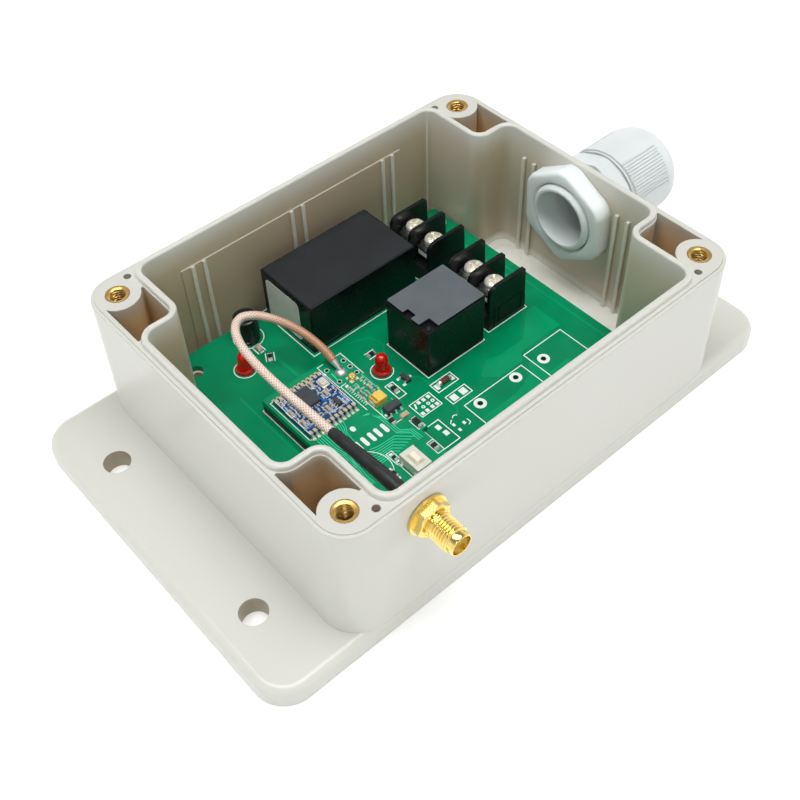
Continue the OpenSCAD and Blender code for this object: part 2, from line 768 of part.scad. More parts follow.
module main_board_transistors() {
    color(case_black) transistor(-4.5 + parts_dx, -2.4, top_z, 90);
}

// Radio board

module radio_board() {
    color(mask_green) difference() {
        translate([radio_x, radio_y, radio_z]) linear_extrude(radio_t) difference() {
            square([radio_l, radio_w], center = true);
            translate([radio_l / 2 - radio_notch[0], -radio_w / 2 - 1])
                square([radio_notch[0] + 1, radio_notch[1] + 1]);
        }
        for (p = free_holes) translate([p[0], p[1], radio_z - 1])
            cylinder(d = 1, h = radio_t + 2, $fn = 24);
    }
}

// Socket strips that hold the radio board off the main board
module header_strips() {
    hole = header_pin_r + 0.02;
    color(case_black) difference() {
        for (row = header_rows)
            translate([row[0] - header_pitch / 2, row[1] - (row[2] - 0.5) * header_pitch, top_z])
                cube([header_pitch, row[2] * header_pitch, header_h]);
        for (p = header_pins) translate([p[0], p[1], top_z - 1])
            cylinder(r = hole, h = header_h + 0.6, $fn = 24);
    }
}

module header_pins() {
    color(gold) for (p = header_pins) lead(p, header_pin_r, top_z + header_h - 0.5);
}

// Square radio module with half-round plated notches along two edges
module radio_module() {
    color([0.10, 0.28, 0.50]) translate([rf_x, rf_y, radio_top]) difference() {
        linear_extrude(rf_t) square(rf_side, center = true);
        for (sy = [-1, 1], k = [-5:5])
            translate([k * pad_pitch, sy * rf_side / 2, -1]) cylinder(r = 0.3, h = rf_t + 2, $fn = 24);
    }
}

module radio_chip() {
    color(case_black) translate([rf_x - 1.4, rf_y + 2.2, rf_top]) linear_extrude(0.9)
        rounded_rect(5.7, 5.7, 0.1);
}

module radio_crystal() {
    color(steel) translate([rf_x + 5.2, rf_y + 3.4, rf_top]) {
        linear_extrude(0.3) rounded_rect(2.2, 2.9, 0.2);
        translate([0, 0, 0.3 - slop]) linear_extrude(0.6) rounded_rect(1.8, 2.5, 0.4);
    }
}

// x and y from the module's centre, length, width, height, angle
rf_chips = [
    [-6.2, 4.8, 1, 0.5, 0.5, 90], [-5.2, 5.2, 1, 0.5, 0.5, 90], [-6.3, 1, 1.6, 0.8, 0.8, 90],
    [-6.2, -1.1, 1, 0.5, 0.5, 90], [-5.9, -3.2, 1.6, 0.8, 0.8, 90], [-4.4, -2, 1, 0.5, 0.5, 0],
    [2.6, 4.8, 1.6, 0.8, 0.8, 90], [2.5, 2.7, 1, 0.5, 0.5, 90], [3.4, 3, 1, 0.5, 0.5, 90],
    [5.4, 0.4, 1, 0.5, 0.5, 0], [3.6, 0.4, 1.6, 0.8, 0.8, 90], [-0.8, -2, 1, 0.5, 0.5, 90],
    [-1.9, -2.9, 1, 0.5, 0.5, 90], [-0.6, -4.4, 1, 0.5, 0.5, 0], [1, -3.7, 1.6, 0.8, 0.8, 90],
    [2.1, -3.4, 1, 0.5, 0.5, 90], [3.9, -3.6, 2.4, 1.2, 0.9, 90], [5.9, -4.2, 1, 0.5, 0.5, 90],
    [-2.8, -4.4, 1, 0.5, 0.5, 0]
];

module radio_module_chips() {
    color([0.55, 0.50, 0.42]) for (c = rf_chips)
        chip_part(rf_x + c[0], rf_y + c[1], rf_top, c[2], c[3], c[4], c[5]);
}

// Tiny snap-on aerial socket beside the solder joint
module aerial_socket_small() {
    color(gold) translate([-16.15, 3.5, radio_top]) {
        linear_extrude(0.4) square([2.5, 2.4], center = true);
        difference() {
            cylinder(d = 2.1, h = 1.2);
            translate([0, 0, 0.4]) cylinder(d = 1.5, h = 1);
        }
        cylinder(d = 0.5, h = 1.1);
    }
}

module tantalum_capacitor() {
    color([0.93, 0.76, 0.32]) translate([-16.2, -6, radio_top]) {
        linear_extrude(1.9) rounded_rect(3.4, 2.9, 0.15);
        for (s = [-1, 1]) translate([s * 1.8 - 0.15, -1.1, 0]) cube([0.3, 2.2, 0.9]);
    }
}

module voltage_regulator() {
    color(case_black) translate([-15.4, -10, radio_top]) {
        translate([-2.1, -1.3, 0.1]) cube([4.2, 2.4, 1.5]);
        for (x = [-1.5, 0, 1.5]) translate([x - 0.22, -2.1, 0]) cube([0.44, 1, 0.35]);
        translate([-0.9, 1, 0]) cube([1.8, 0.7, 0.35]);
    }
}

// x, y, length, width, height, angle
radio_chips = [
    [-14.6, -13.6, 2, 1.3, 0.8, 0], [-14, -17.2, 2.9, 1.3, 1, 90],
    [-15.6, -24.8, 2, 1.3, 0.55, 90], [-17.9, -12.8, 2, 1.2, 0.55, 90],
    [-27.6, -24.6, 2, 1.2, 0.55, 90], [-18.6, 1.2, 1, 0.6, 0.5, 90],
    [-17.8, -1.2, 1, 0.6, 0.5, 0], [-15, -1.6, 1.6, 0.8, 0.8, 90], [-18.3, -3.4, 1, 0.6, 0.5, 90]
];

module radio_board_chips() {
    color([0.45, 0.42, 0.36]) for (c = radio_chips)
        chip_part(c[0], c[1], radio_top, c[2], c[3], c[4], c[5]);
}

// Learn switch: frame with a well in its top that guides the button
module learn_switch() {
    color([0.93, 0.93, 0.90]) translate([switch_x, switch_y, radio_top]) difference() {
        translate([-switch_l / 2, -switch_w / 2, 0]) cube([switch_l, switch_w, switch_h]);
        translate([-button_l / 2 - button_gap, -button_w / 2 - button_gap, switch_h - 1.2])
            cube([button_l + 2 * button_gap, button_w + 2 * button_gap, 2]);
    }
}

module learn_button() {
    foot_z = switch_h - 1.2 + button_travel + 0.05;
    color([0.95, 0.95, 0.92]) translate([switch_x, switch_y, radio_top + foot_z])
        translate([-button_l / 2, -button_w / 2, 0])
            cube([button_l, button_w, switch_h + button_h - foot_z]);
}

// Antenna socket, modelled along -Y from the wall

module along_antenna(y) {
    translate([antenna_x, y, antenna_z]) rotate([90, 0, 0]) children();
}

module hexagon(af) { circle(d = af / cos(30), $fn = 6); }

module antenna_socket() {
    r = antenna_thread_d / 2;
    inside = -cavity_y + socket_flange_t;
    thread_l = inside - antenna_tip - collar_l;
    relief_z = inside - y_wall + antenna_washer_t + antenna_nut_t;
    color(gold) along_antenna(inside) difference() {
        union() {
            linear_extrude(socket_flange_t) hexagon(antenna_af);
            cylinder(r = r, h = relief_z);
            cylinder(r = r - relief_depth, h = relief_z + relief_l + slop);
            translate([0, 0, relief_z + relief_l]) cylinder(r = r, h = thread_l - relief_z - relief_l);
            cylinder(r = r - 0.45, h = thread_l + collar_l);
            translate([0, 0, -ferrule_l]) cylinder(r = ferrule_r, h = ferrule_l + slop);
        }
        translate([0, 0, socket_flange_t + 1]) cylinder(r = 2.1, h = thread_l + collar_l);
        translate([0, 0, thread_l + collar_l - 2]) cylinder(r = 2.3, h = 3);
    }
}

module antenna_insulator() {
    depth = -cavity_y - antenna_tip - 1;
    color([0.93, 0.90, 0.80]) along_antenna(-cavity_y - 1) difference() {
        cylinder(r = 2.08, h = depth - 2);
        translate([0, 0, -1]) cylinder(r = 0.64, h = depth + 2, $fn = 24);
    }
}

module antenna_contact() {
    depth = -cavity_y - antenna_tip - 1;
    color(gold) along_antenna(-cavity_y - 1) difference() {
        cylinder(r = 0.63, h = depth - 1.2, $fn = 24);
        translate([0, 0, depth - 3.5]) cylinder(r = 0.4, h = 3, $fn = 24);
    }
}

module antenna_washer() {
    color(brass) along_antenna(y_wall) difference() {
        cylinder(d = antenna_washer_d, h = antenna_washer_t);
        translate([0, 0, -1]) cylinder(d = antenna_thread_d + 2 * socket_hole_gap, h = 3);
    }
}

module antenna_nut() {
    corner_r = antenna_af / cos(30) / 2 - 0.25;
    color(gold) along_antenna(y_wall - antenna_washer_t) rotate([0, 0, 12]) difference() {
        intersection() {
            linear_extrude(antenna_nut_t) hexagon(antenna_af);
            union() {
                cylinder(r = corner_r, h = antenna_nut_t - 0.4);
                translate([0, 0, antenna_nut_t - 0.4 - slop])
                    cylinder(r1 = corner_r, r2 = corner_r - 0.6, h = 0.4 + slop);
            }
        }
        translate([0, 0, -1]) cylinder(d = antenna_thread_d + 2 * socket_hole_gap, h = antenna_nut_t + 2);
    }
}

// Swept tubes for the pigtail and its sleeve

function unit(v) = v / norm(v);

// Direction of the route at point i
function heading(path, i) =
    i == 0 ? unit(path[1] - path[0]) :
    i == len(path) - 1 ? unit(path[i] - path[i - 1]) :
    unit(unit(path[i] - path[i - 1]) + unit(path[i + 1] - path[i]));

// Side direction of a ring; no part of the route is vertical
function side_of(d) = unit(cross(d, [0, 0, 1]));

module swept_tube(path, d) {
    n = coax_sides;
    last = len(path) - 1;
    points = [
        for (i = [0:last])
            let (t = heading(path, i), s = side_of(t), u = cross(s, t))
            for (k = [0:n - 1])
                path[i] + d / 2 * (cos(360 * k / n) * s + sin(360 * k / n) * u)
    ];
    sides = [
        for (i = [0:last - 1], k = [0:n - 1])
            let (a = i * n + k, b = i * n + (k + 1) % n)
            each [[a, b, b + n], [a, b + n, a + n]]
    ];
    start_cap = [for (k = [1:n - 2]) [0, k + 1, k]];
    end_cap = [for (k = [1:n - 2]) [last * n, last * n + k, last * n + k + 1]];
    polyhedron(points, concat(sides, start_cap, end_cap));
}

module coax_pigtail() { color([0.90, 0.72, 0.62]) swept_tube(coax_route, coax_d); }
module heat_shrink_sleeve() { color([0.07, 0.07, 0.08]) swept_tube(sleeve_route, sleeve_d); }

// Solder blob on the board and the tinned end of the pigtail above it
module coax_solder() {
    tip = [solder_x, solder_y, radio_top + 0.5];
    run = coax_route[0] - 0.1 * unit(coax_route[1] - coax_route[0]) - tip;
    color(tin) {
        translate([solder_x, solder_y, radio_top]) intersection() {
            translate([0, 0, -0.9]) sphere(r = 1.7);
            cylinder(r = 2, h = 0.75);
        }
        translate(tip) rotate([0, acos(run[2] / norm(run)), atan2(run[1], run[0])])
            cylinder(r1 = 0.5, r2 = 0.85, h = norm(run));
    }
}

// Cable gland, modelled along +X from the wall

module along_gland(x) { translate([x, 0, gland_z]) rotate([0, 90, 0]) children(); }

module gland_gasket() {
    color([0.80, 0.84, 0.85]) along_gland(x_wall) difference() {
        cylinder(d = gland_thread_d + 1, h = gasket_t);
        translate([0, 0, -1]) cylinder(d = gland_thread_d + 2 * gland_gap, h = gasket_t + 2);
    }
}

module gland_body() {
    thread_in = hex_x - tube_end_x;
    claw_r = gland_bore_d / 2 + 0.8;
    hex_r = gland_af / 2 / cos(30) - 0.5;
    nut_run = locknut_t + tube_out + 0.1;
    bevel = 0.9;
    color(nylon) along_gland(tube_end_x) difference() {
        union() {
            cylinder(d1 = gland_bore_d + 1.2, d2 = gland_root_d, h = tube_lead);
            translate([0, 0, tube_lead - slop])
                cylinder(d = gland_root_d, h = nut_run - tube_lead + 2 * slop);
            translate([0, 0, nut_run])
                cylinder(d = gland_thread_d, h = thread_in - nut_run + slop);
            translate([0, 0, thread_in]) intersection() {
                rotate([0, 0, 10]) linear_extrude(gland_hex_t) hexagon(gland_af);
                union() {
                    cylinder(r = hex_r, h = gland_hex_t - bevel);
                    translate([0, 0, gland_hex_t - bevel - slop])
                        cylinder(r1 = hex_r, r2 = gland_af / 2, h = bevel + slop);
                }
            }
            translate([0, 0, thread_in + gland_hex_t - slop])
                cylinder(r = neck_r, h = neck_l + slop);
            translate([0, 0, thread_in + gland_hex_t + neck_l - slop])
                cylinder(r1 = claw_r + 0.7, r2 = claw_r, h = claw_l - 3);
        }
        translate([0, 0, -1]) cylinder(d = gland_bore_d, h = thread_in + gland_hex_t + neck_l + claw_l + 2);
        translate([0, 0, thread_in + gland_hex_t + neck_l - 1.5]) for (a = [0:30:150])
            rotate([0, 0, a]) translate([-gland_cap_d / 2, -0.3, 0])
                cube([gland_cap_d, 0.6, claw_l]);
    }
}

module gland_locknut() {
    corner_r = locknut_af / cos(30) / 2 - 0.5;
    bevel = 0.6;
    color(nylon) along_gland(cavity_x - locknut_t) rotate([0, 0, 3]) difference() {
        intersection() {
            linear_extrude(locknut_t) hexagon(locknut_af);
            union() {
                cylinder(r1 = corner_r - bevel, r2 = corner_r, h = bevel);
                translate([0, 0, bevel - slop]) cylinder(r = corner_r, h = locknut_t - bevel + slop);
            }
        }
        translate([0, 0, -1]) cylinder(d = gland_root_d + 2 * gland_gap, h = locknut_t + 2);
        translate([0, 0, -slop])
            cylinder(d1 = gland_root_d + 2, d2 = gland_root_d + 2 * gland_gap, h = 0.8);
    }
}

module gland_seal() {
    seal_l = 6;
    color([0.25, 0.26, 0.27]) along_gland(claw_x - 3) difference() {
        cylinder(d = gland_bore_d - 0.3, h = seal_l);
        translate([0, 0, -1]) cylinder(d = seal_bore_d, h = seal_l + 2);
    }
}

// Cap nut: three smooth sides and three finely ribbed grips, then a domed end
module gland_cap() {
    r = gland_cap_d / 2;
    dome = cap_dome;
    grip_ribs = 14;
    color(nylon) along_gland(cap_x0) difference() {
        union() {
            rotate_extrude() {
                square([r - 0.5, gland_cap_l - dome]);
                translate([0, 0.5]) square([r, gland_cap_l - dome - 0.5]);
                translate([0, gland_cap_l - dome]) square([r - dome, dome]);
                translate([r - dome, gland_cap_l - dome]) intersection() {
                    circle(dome);
                    square(dome);
                }
            }
            for (a = [110, 230, 350], k = [0:grip_ribs - 1])
                rotate([0, 0, a + (k - (grip_ribs - 1) / 2) * 4])
                    translate([r - 0.6, -0.2, 0.6]) cube([0.8, 0.4, gland_cap_l - dome - 0.8]);
        }
        translate([0, 0, -1]) cylinder(r = neck_r + cap_gap, h = claw_x - cap_x0 + 1.5);
        translate([0, 0, claw_x - cap_x0 - slop])
            cylinder(r1 = neck_r + cap_gap, r2 = cap_mouth_d / 2 + 1.2, h = 4.5);
        cylinder(d = cap_mouth_d, h = gland_cap_l + 1);
        translate([0, 0, gland_cap_l - 0.8])
            cylinder(d1 = cap_mouth_d, d2 = cap_mouth_d + 1.6, h = 0.8 + slop);
    }
}

enclosure_base();
lid_inserts();
main_board();
board_screws();
power_module();
power_module_pins();
relay_case();
relay_pins();
supply_terminal_block();
load_terminal_block();
terminal_plates();
terminal_clamps();
terminal_screw_1();
terminal_screw_2();
terminal_screw_3();
terminal_screw_4();
smoothing_capacitor();
power_lamp();
status_lamp();
main_board_chips();
main_board_transistors();
radio_board();
header_strips();
header_pins();
radio_module();
radio_chip();
radio_crystal();
radio_module_chips();
aerial_socket_small();
tantalum_capacitor();
voltage_regulator();
radio_board_chips();
learn_switch();
learn_button();
antenna_socket();
antenna_insulator();
antenna_contact();
antenna_washer();
antenna_nut();
coax_pigtail();
heat_shrink_sleeve();
coax_solder();
gland_gasket();
gland_body();
gland_locknut();
gland_seal();
gland_cap();
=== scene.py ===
"""Radio relay receiver in an open wall enclosure: finishes, board detail and studio light.

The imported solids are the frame. Everything drawn here is in millimetres, in the same
axes, and is scaled once to metres when a piece is made.
"""
import math

import bmesh
import bpy
from mathutils import Matrix, Vector


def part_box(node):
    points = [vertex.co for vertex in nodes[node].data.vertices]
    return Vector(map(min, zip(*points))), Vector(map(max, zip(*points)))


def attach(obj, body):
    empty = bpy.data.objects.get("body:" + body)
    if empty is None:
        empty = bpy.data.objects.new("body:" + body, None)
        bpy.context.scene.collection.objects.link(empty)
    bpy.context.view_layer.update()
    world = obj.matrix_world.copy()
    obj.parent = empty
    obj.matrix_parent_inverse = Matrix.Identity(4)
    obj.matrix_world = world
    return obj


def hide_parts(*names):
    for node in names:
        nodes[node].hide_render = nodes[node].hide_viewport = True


MM = 0.001
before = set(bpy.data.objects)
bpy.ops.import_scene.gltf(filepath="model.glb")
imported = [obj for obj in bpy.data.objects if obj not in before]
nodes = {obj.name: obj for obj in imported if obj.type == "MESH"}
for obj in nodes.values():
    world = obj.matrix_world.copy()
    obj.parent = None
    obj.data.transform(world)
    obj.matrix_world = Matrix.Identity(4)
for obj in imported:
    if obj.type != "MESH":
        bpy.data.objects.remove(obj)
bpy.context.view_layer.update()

# Camera, fitted to the picture by the enclosure's edges and holes

CAMERA_AT = Vector((-119.379, -138.582, 208.833))
LOOK = Vector((0.41622583, 0.50236248, -0.75788389))
ROLL = math.radians(-2.376)
FOCAL_PIXELS = 1097.1
PICTURE_PIXELS = 800
SENSOR = 36.0


def make_camera():
    level = LOOK.cross(Vector((0, 0, 1))).normalized()
    upright = level.cross(LOOK)
    right = level * math.cos(ROLL) + upright * math.sin(ROLL)
    up = upright * math.cos(ROLL) - level * math.sin(ROLL)
    data = bpy.data.cameras.new("picture_camera")
    data.sensor_width = SENSOR
    data.lens = SENSOR * FOCAL_PIXELS / PICTURE_PIXELS
    data.clip_start, data.clip_end = 0.01, 10
    camera = bpy.data.objects.new("picture_camera", data)
    turn = Matrix((right, up, -LOOK)).transposed().to_4x4()
    camera.matrix_world = Matrix.Translation(CAMERA_AT * MM) @ turn
    bpy.context.scene.collection.objects.link(camera)
    bpy.context.scene.camera = camera


make_camera()

# Places on the enclosure that its painted light and shade follow, in millimetres
EAR_HOLE_X, EAR_HOLE_Y = 69.15, 27
RIB_END_REACH = 0.35

# Finishes


def linear(colour):
    """sRGB hex to the linear colour that the shaders take."""
    channels = [int(colour[i:i + 2], 16) / 255 for i in (1, 3, 5)]
    return [c / 12.92 if c <= 0.04045 else ((c + 0.055) / 1.055) ** 2.4 for c in channels] + [1]


def add(tree, kind, values=None, links=None, **settings):
    """Adds one node with its settings, input values and incoming links."""
    node = tree.nodes.new(kind)
    for name, value in settings.items():
        setattr(node, name, value)
    for key, value in (values or {}).items():
        node.inputs[key].default_value = value
    for key, source in (links or {}).items():
        tree.links.new(source, node.inputs[key])
    return node


def shader_of(material):
    return material.node_tree.nodes["Principled BSDF"]


# Object coordinates serve as places below: every piece keeps its place in its mesh, so they
# are real metres


def clouding(material, pale, dark, size_mm):
    """Two near shades that drift into each other over patches of size_mm."""
    tree = material.node_tree
    spot = add(tree, "ShaderNodeTexCoord").outputs["Object"]
    noise = add(tree, "ShaderNodeTexNoise", {"Scale": 1 / (size_mm * MM), "Detail": 3.0},
                {"Vector": spot})
    part = add(tree, "ShaderNodeMapRange", {"From Min": 0.25, "From Max": 0.75},
               {"Value": noise.outputs["Fac"]})
    shade = add(tree, "ShaderNodeMix", {6: linear(dark), 7: linear(pale)},
                {0: part.outputs["Result"]}, data_type="RGBA")
    tree.links.new(shade.outputs[2], shader_of(material).inputs["Base Color"])


def painted_recess_shade(material, pale, dark, deep, reach_mm):
    """Open faces drift between two near shades, and recesses within reach_mm take deep as a painted
    shade.
    """
    tree = material.node_tree
    spot = add(tree, "ShaderNodeTexCoord").outputs["Object"]
    noise = add(tree, "ShaderNodeTexNoise", {"Scale": 1 / (3 * MM), "Detail": 3.0},
                {"Vector": spot})
    open_sky = add(tree, "ShaderNodeAmbientOcclusion", {"Distance": reach_mm * MM}, samples=8,
                   only_local=True)
    spread = add(tree, "ShaderNodeMapRange", {"From Min": 0.3, "From Max": 0.85},
                 {"Value": open_sky.outputs["AO"]})
    lit = add(tree, "ShaderNodeMix", {6: linear(dark), 7: linear(pale)},
              {0: noise.outputs["Fac"]}, data_type="RGBA")
    shade = add(tree, "ShaderNodeMix", {6: linear(deep)},
                {0: spread.outputs["Result"], 7: lit.outputs[2]}, data_type="RGBA")
    tree.links.new(shade.outputs[2], shader_of(material).inputs["Base Color"])


def painted_cavity_light_and_shade(material, pale, dark, wall_bounce_shade, pocket_bounce_shade):
    """Plastic of the box: two near shades outside, and painted bounce light and shade in the cavity
    and pockets.
    """
    tree = material.node_tree
    place = add(tree, "ShaderNodeTexCoord").outputs
    noise = add(tree, "ShaderNodeTexNoise", {"Scale": 1 / (40 * MM), "Detail": 2.0},
                {"Vector": place["Object"]})
    spot = add(tree, "ShaderNodeVectorMath", None, {0: place["Object"]},
               operation="ABSOLUTE").outputs[0]
    axes = add(tree, "ShaderNodeSeparateXYZ", None, {0: spot}).outputs
    facing = add(tree, "ShaderNodeSeparateXYZ", None, {0: place["Normal"]}).outputs
    span = add(tree, "ShaderNodeMath", None, {0: axes["X"], 1: axes["Y"]},
               operation="ADD").outputs[0]
    flat = add(tree, "ShaderNodeVectorMath", {1: (1, 1, 0)}, {0: spot},
               operation="MULTIPLY").outputs[0]
    from_hole = add(tree, "ShaderNodeVectorMath", {1: (EAR_HOLE_X * MM, EAR_HOLE_Y * MM, 0)},
                    {0: flat}, operation="DISTANCE").outputs["Value"]
    mask = {}
    # Soft masks rise from 0 at the first value to 1 at the second; heights are in metres
    for name, source, start, end in (
            ("below_rim", axes["Z"], 41 * MM, 34 * MM), ("on_floor", axes["Z"], 6 * MM, 4 * MM),
            ("upright", facing["Z"], 0.7, 0.2), ("toward_x", facing["X"], 0.3, 0.9),
            ("toward_y", facing["Y"], -0.3, -0.9)):
        mask[name] = add(tree, "ShaderNodeMapRange", {"From Min": start, "From Max": end},
                         {"Value": source}).outputs["Result"]
    # Sharp masks, limits in millimetres: cavity, corner pockets, fields with ribs, ear holes
    for name, source, test, limit in (
            ("in_x", axes["X"], "LESS_THAN", 57.6), ("in_y", axes["Y"], "LESS_THAN", 43.5),
            ("off_corner", span, "LESS_THAN", 98), ("past_x", axes["X"], "GREATER_THAN", 46.4),
            ("past_y", axes["Y"], "GREATER_THAN", 25.7), ("side_rib", axes["Y"], "COMPARE", 42.4),
            ("side_field", axes["X"], "LESS_THAN", 44), ("end_rib", axes["X"], "COMPARE", 54.6),
            ("end_field", axes["Y"], "LESS_THAN", 22), ("ear_hole", from_hole, "LESS_THAN", 3.6)):
        mask[name] = add(tree, "ShaderNodeMath", {1: limit * MM, 2: RIB_END_REACH * MM},
                         {0: source}, operation=test).outputs[0]
    # Masks made of two others: MULTIPLY where both hold, MAXIMUM where either does
    for name, one, test, other in (
            ("between_walls", "in_x", "MULTIPLY", "in_y"),
            ("inside", "between_walls", "MULTIPLY", "off_corner"),
            ("deep_wall", "below_rim", "MULTIPLY", "upright"),
            ("shaded_deep_wall", "inside", "MULTIPLY", "deep_wall"),
            ("pocket", "past_x", "MULTIPLY", "past_y"),
            ("side_ends", "side_rib", "MULTIPLY", "side_field"),
            ("end_ends", "end_rib", "MULTIPLY", "end_field"),
            ("rib_ends", "side_ends", "MAXIMUM", "end_ends"),
            ("rib_end_highlight", "rib_ends", "MULTIPLY", "shaded_deep_wall"),
            ("in_ear_hole", "ear_hole", "MULTIPLY", "upright"),
            ("floor", "on_floor", "MULTIPLY", "inside")):
        mask[name] = add(tree, "ShaderNodeMath", None, {0: mask[one], 1: mask[other]},
                         operation=test).outputs[0]
    # Painted bounce light and shade deep in the cavity: warm upright faces, painted lighter and
    # creamier on the wall that faces +X, duller on the wall that faces -Y, warmest in the pockets
    tone = add(tree, "ShaderNodeMix", {6: linear(wall_bounce_shade), 7: linear("#f1e6cb")},
               {0: mask["toward_x"]}, data_type="RGBA")
    for name, colour in (("toward_y", "#bdae93"), ("pocket", pocket_bounce_shade)):
        tone = add(tree, "ShaderNodeMix", {7: linear(colour)},
                   {0: mask[name], 6: tone.outputs[2]}, data_type="RGBA")
    shade = add(tree, "ShaderNodeMix", {6: linear(dark), 7: linear(pale)},
                {0: noise.outputs["Fac"]}, data_type="RGBA")
    shade = add(tree, "ShaderNodeMix", None,
                {0: mask["shaded_deep_wall"], 6: shade.outputs[2], 7: tone.outputs[2]}, data_type="RGBA")
    # Painted highlight on the rib ends, painted warm shade in the ear holes like the pockets, and
    # painted light that makes the cavity floor the palest
    for name, colour in (("rib_end_highlight", "#dfdccd"), ("in_ear_hole", "#b5ab92"),
                         ("floor", "#eeede3")):
        shade = add(tree, "ShaderNodeMix", {7: linear(colour)},
                    {0: mask[name], 6: shade.outputs[2]}, data_type="RGBA")
    tree.links.new(shade.outputs[2], shader_of(material).inputs["Base Color"])


def fading(material, colour, start, end):
    """Blends the colour already set toward another between two places along X, in millimetres, to
    paint light and shade along a piece.
    """
    tree = material.node_tree
    target = shader_of(material).inputs["Base Color"]
    spot = add(tree, "ShaderNodeTexCoord").outputs["Object"]
    axes = add(tree, "ShaderNodeSeparateXYZ", None, {0: spot})
    part = add(tree, "ShaderNodeMapRange", {"From Min": start * MM, "From Max": end * MM},
               {"Value": axes.outputs["X"]}, interpolation_type="SMOOTHSTEP")
    shade = add(tree, "ShaderNodeMix", {7: linear(colour)},
                {0: part.outputs["Result"], 6: target.links[0].from_socket}, data_type="RGBA")
    tree.links.new(shade.outputs[2], target)


def uneven_gloss(material, low, high, size_mm):
    """Roughness that wanders between low and high, as handling and flow marks leave it."""
    tree = material.node_tree
    spot = add(tree, "ShaderNodeTexCoord").outputs["Object"]
    noise = add(tree, "ShaderNodeTexNoise", {"Scale": 1 / (size_mm * MM), "Detail": 4.0},
                {"Vector": spot})
    spread = add(tree, "ShaderNodeMapRange",
                 {"From Min": 0.3, "From Max": 0.7, "To Min": low, "To Max": high},
                 {"Value": noise.outputs["Fac"]})
    tree.links.new(spread.outputs["Result"], shader_of(material).inputs["Roughness"])


def grain(material, size_mm, height_mm, edge_mm=0.0, stretch=(1, 1, 1)):
    """Fine relief, and rounded edges where edge_mm is set."""
    tree = material.node_tree
    spot = add(tree, "ShaderNodeTexCoord").outputs["Object"]
    drawn = add(tree, "ShaderNodeVectorMath", {1: stretch}, {0: spot},
                operation="MULTIPLY").outputs[0]
    noise = add(tree, "ShaderNodeTexNoise", {"Scale": 1 / (size_mm * MM), "Detail": 2.0},
                {"Vector": drawn})
    bump = add(tree, "ShaderNodeBump", {"Strength": 1.0, "Distance": height_mm * MM},
               {"Height": noise.outputs["Fac"]})
    if edge_mm:
        edge = add(tree, "ShaderNodeBevel", {"Radius": edge_mm * MM}, samples=4)
        tree.links.new(edge.outputs[0], bump.inputs["Normal"])
    tree.links.new(bump.outputs[0], shader_of(material).inputs["Normal"])


def finish(name, colour, roughness, clouds=None, gloss=None, relief=None, **more):
    """A principled surface; clouds, gloss and relief go to clouding, uneven_gloss and grain.

    Further sockets are named with underscores for spaces. Grain that is too fine to show in
    the picture is drawn as coarse as it needs to be.
    """
    material = bpy.data.materials.new(name)
    material.use_nodes = True
    shader = shader_of(material)
    shader.inputs["Base Color"].default_value = linear(colour)
    shader.inputs["Roughness"].default_value = roughness
    for socket, value in more.items():
        shader.inputs[socket.replace("_", " ")].default_value = value
    for work, numbers in ((clouding, clouds), (uneven_gloss, gloss), (grain, relief)):
        if numbers:
            work(material, *numbers)
    return material


# Enclosure: grey ABS, moulded in a polished tool, so it is glossy and faintly wavy. The warm bounce
# light and the shade between its walls are painted into its colour
abs_plastic = finish("moulded_abs_grey", "#d0d0c7", 0.3, gloss=(0.27, 0.32, 70),
                     relief=(1.2, 0.0015, 0.3), IOR=1.5)
painted_cavity_light_and_shade(abs_plastic, "#cfcfc7", "#cbcbc1", "#cbc3af", "#dcbd90")

# Gland: moulded nylon, cooler and more matt than the box, with soft edges
nylon = finish("moulded_nylon_white", "#d7dcdc", 0.4, clouds=("#dadfdf", "#d3d9d8", 9),
               gloss=(0.36, 0.5, 4), relief=(0.8, 0.004, 0.4), IOR=1.5)
# Painted light: the parts of the gland inside the wall, below 56 mm along X, are painted lighter
fading(nylon, "#ebf1f1", 58, 56)

# Seal ring: moulded rubber, dull and dark
rubber = finish("moulded_rubber", "#232526", 0.75, clouds=("#2a2c2d", "#1d1f20", 3),
                relief=(0.5, 0.01))

# Lid inserts: turned brass, yellow with fine turning marks
brass = finish("turned_brass", "#d2a95f", 0.3, relief=(0.25, 0.004, 0.0, (1, 1, 6)), Metallic=0.85)
# Painted shade: the thread's recesses and the bore darken toward deep brown
painted_recess_shade(brass, "#dcb56c", "#c99c50", "#3c1d06", 0.7)

# Antenna socket: gold plate over machined brass, bright and yellow
gold = finish("plated_gold", "#f4da86", 0.15, clouds=("#f8e08f", "#ebcd74", 3), relief=(0.3, 0.002),
              Metallic=1.0)

# Main board: green solder mask over woven glass laminate, glossy with a slight ripple
board_mask = finish("green_solder_mask", "#008457", 0.2, clouds=("#008a5b", "#007b50", 7),
                    gloss=(0.14, 0.26, 5), relief=(0.9, 0.0025), IOR=1.33)

# Copper under the mask: the same mask, lighter where metal lies under it
mask_copper = finish("green_mask_over_copper", "#00905f", 0.18, clouds=("#059664", "#028a5b", 6),
                     relief=(0.9, 0.002), IOR=1.33)

# Radio board: the same mask in a livelier green
radio_mask = finish("radio_board_mask", "#02895c", 0.2, clouds=("#049062", "#018156", 5),
                    gloss=(0.14, 0.26, 4), relief=(0.7, 0.002), IOR=1.4)
radio_copper = finish("radio_mask_over_copper", "#41cda0", 0.2, clouds=("#4ad4a8", "#38c496", 3),
                      relief=(0.7, 0.002), IOR=1.4)

# Radio module: blue mask
blue_mask = finish("blue_solder_mask", "#124074", 0.22, clouds=("#16477d", "#0f396a", 4),
                   relief=(0.6, 0.002), IOR=1.4)
blue_copper = finish("blue_mask_over_copper", "#2862a0", 0.24, clouds=("#2e69a9", "#225a95", 3),
                     relief=(0.6, 0.002), IOR=1.4)

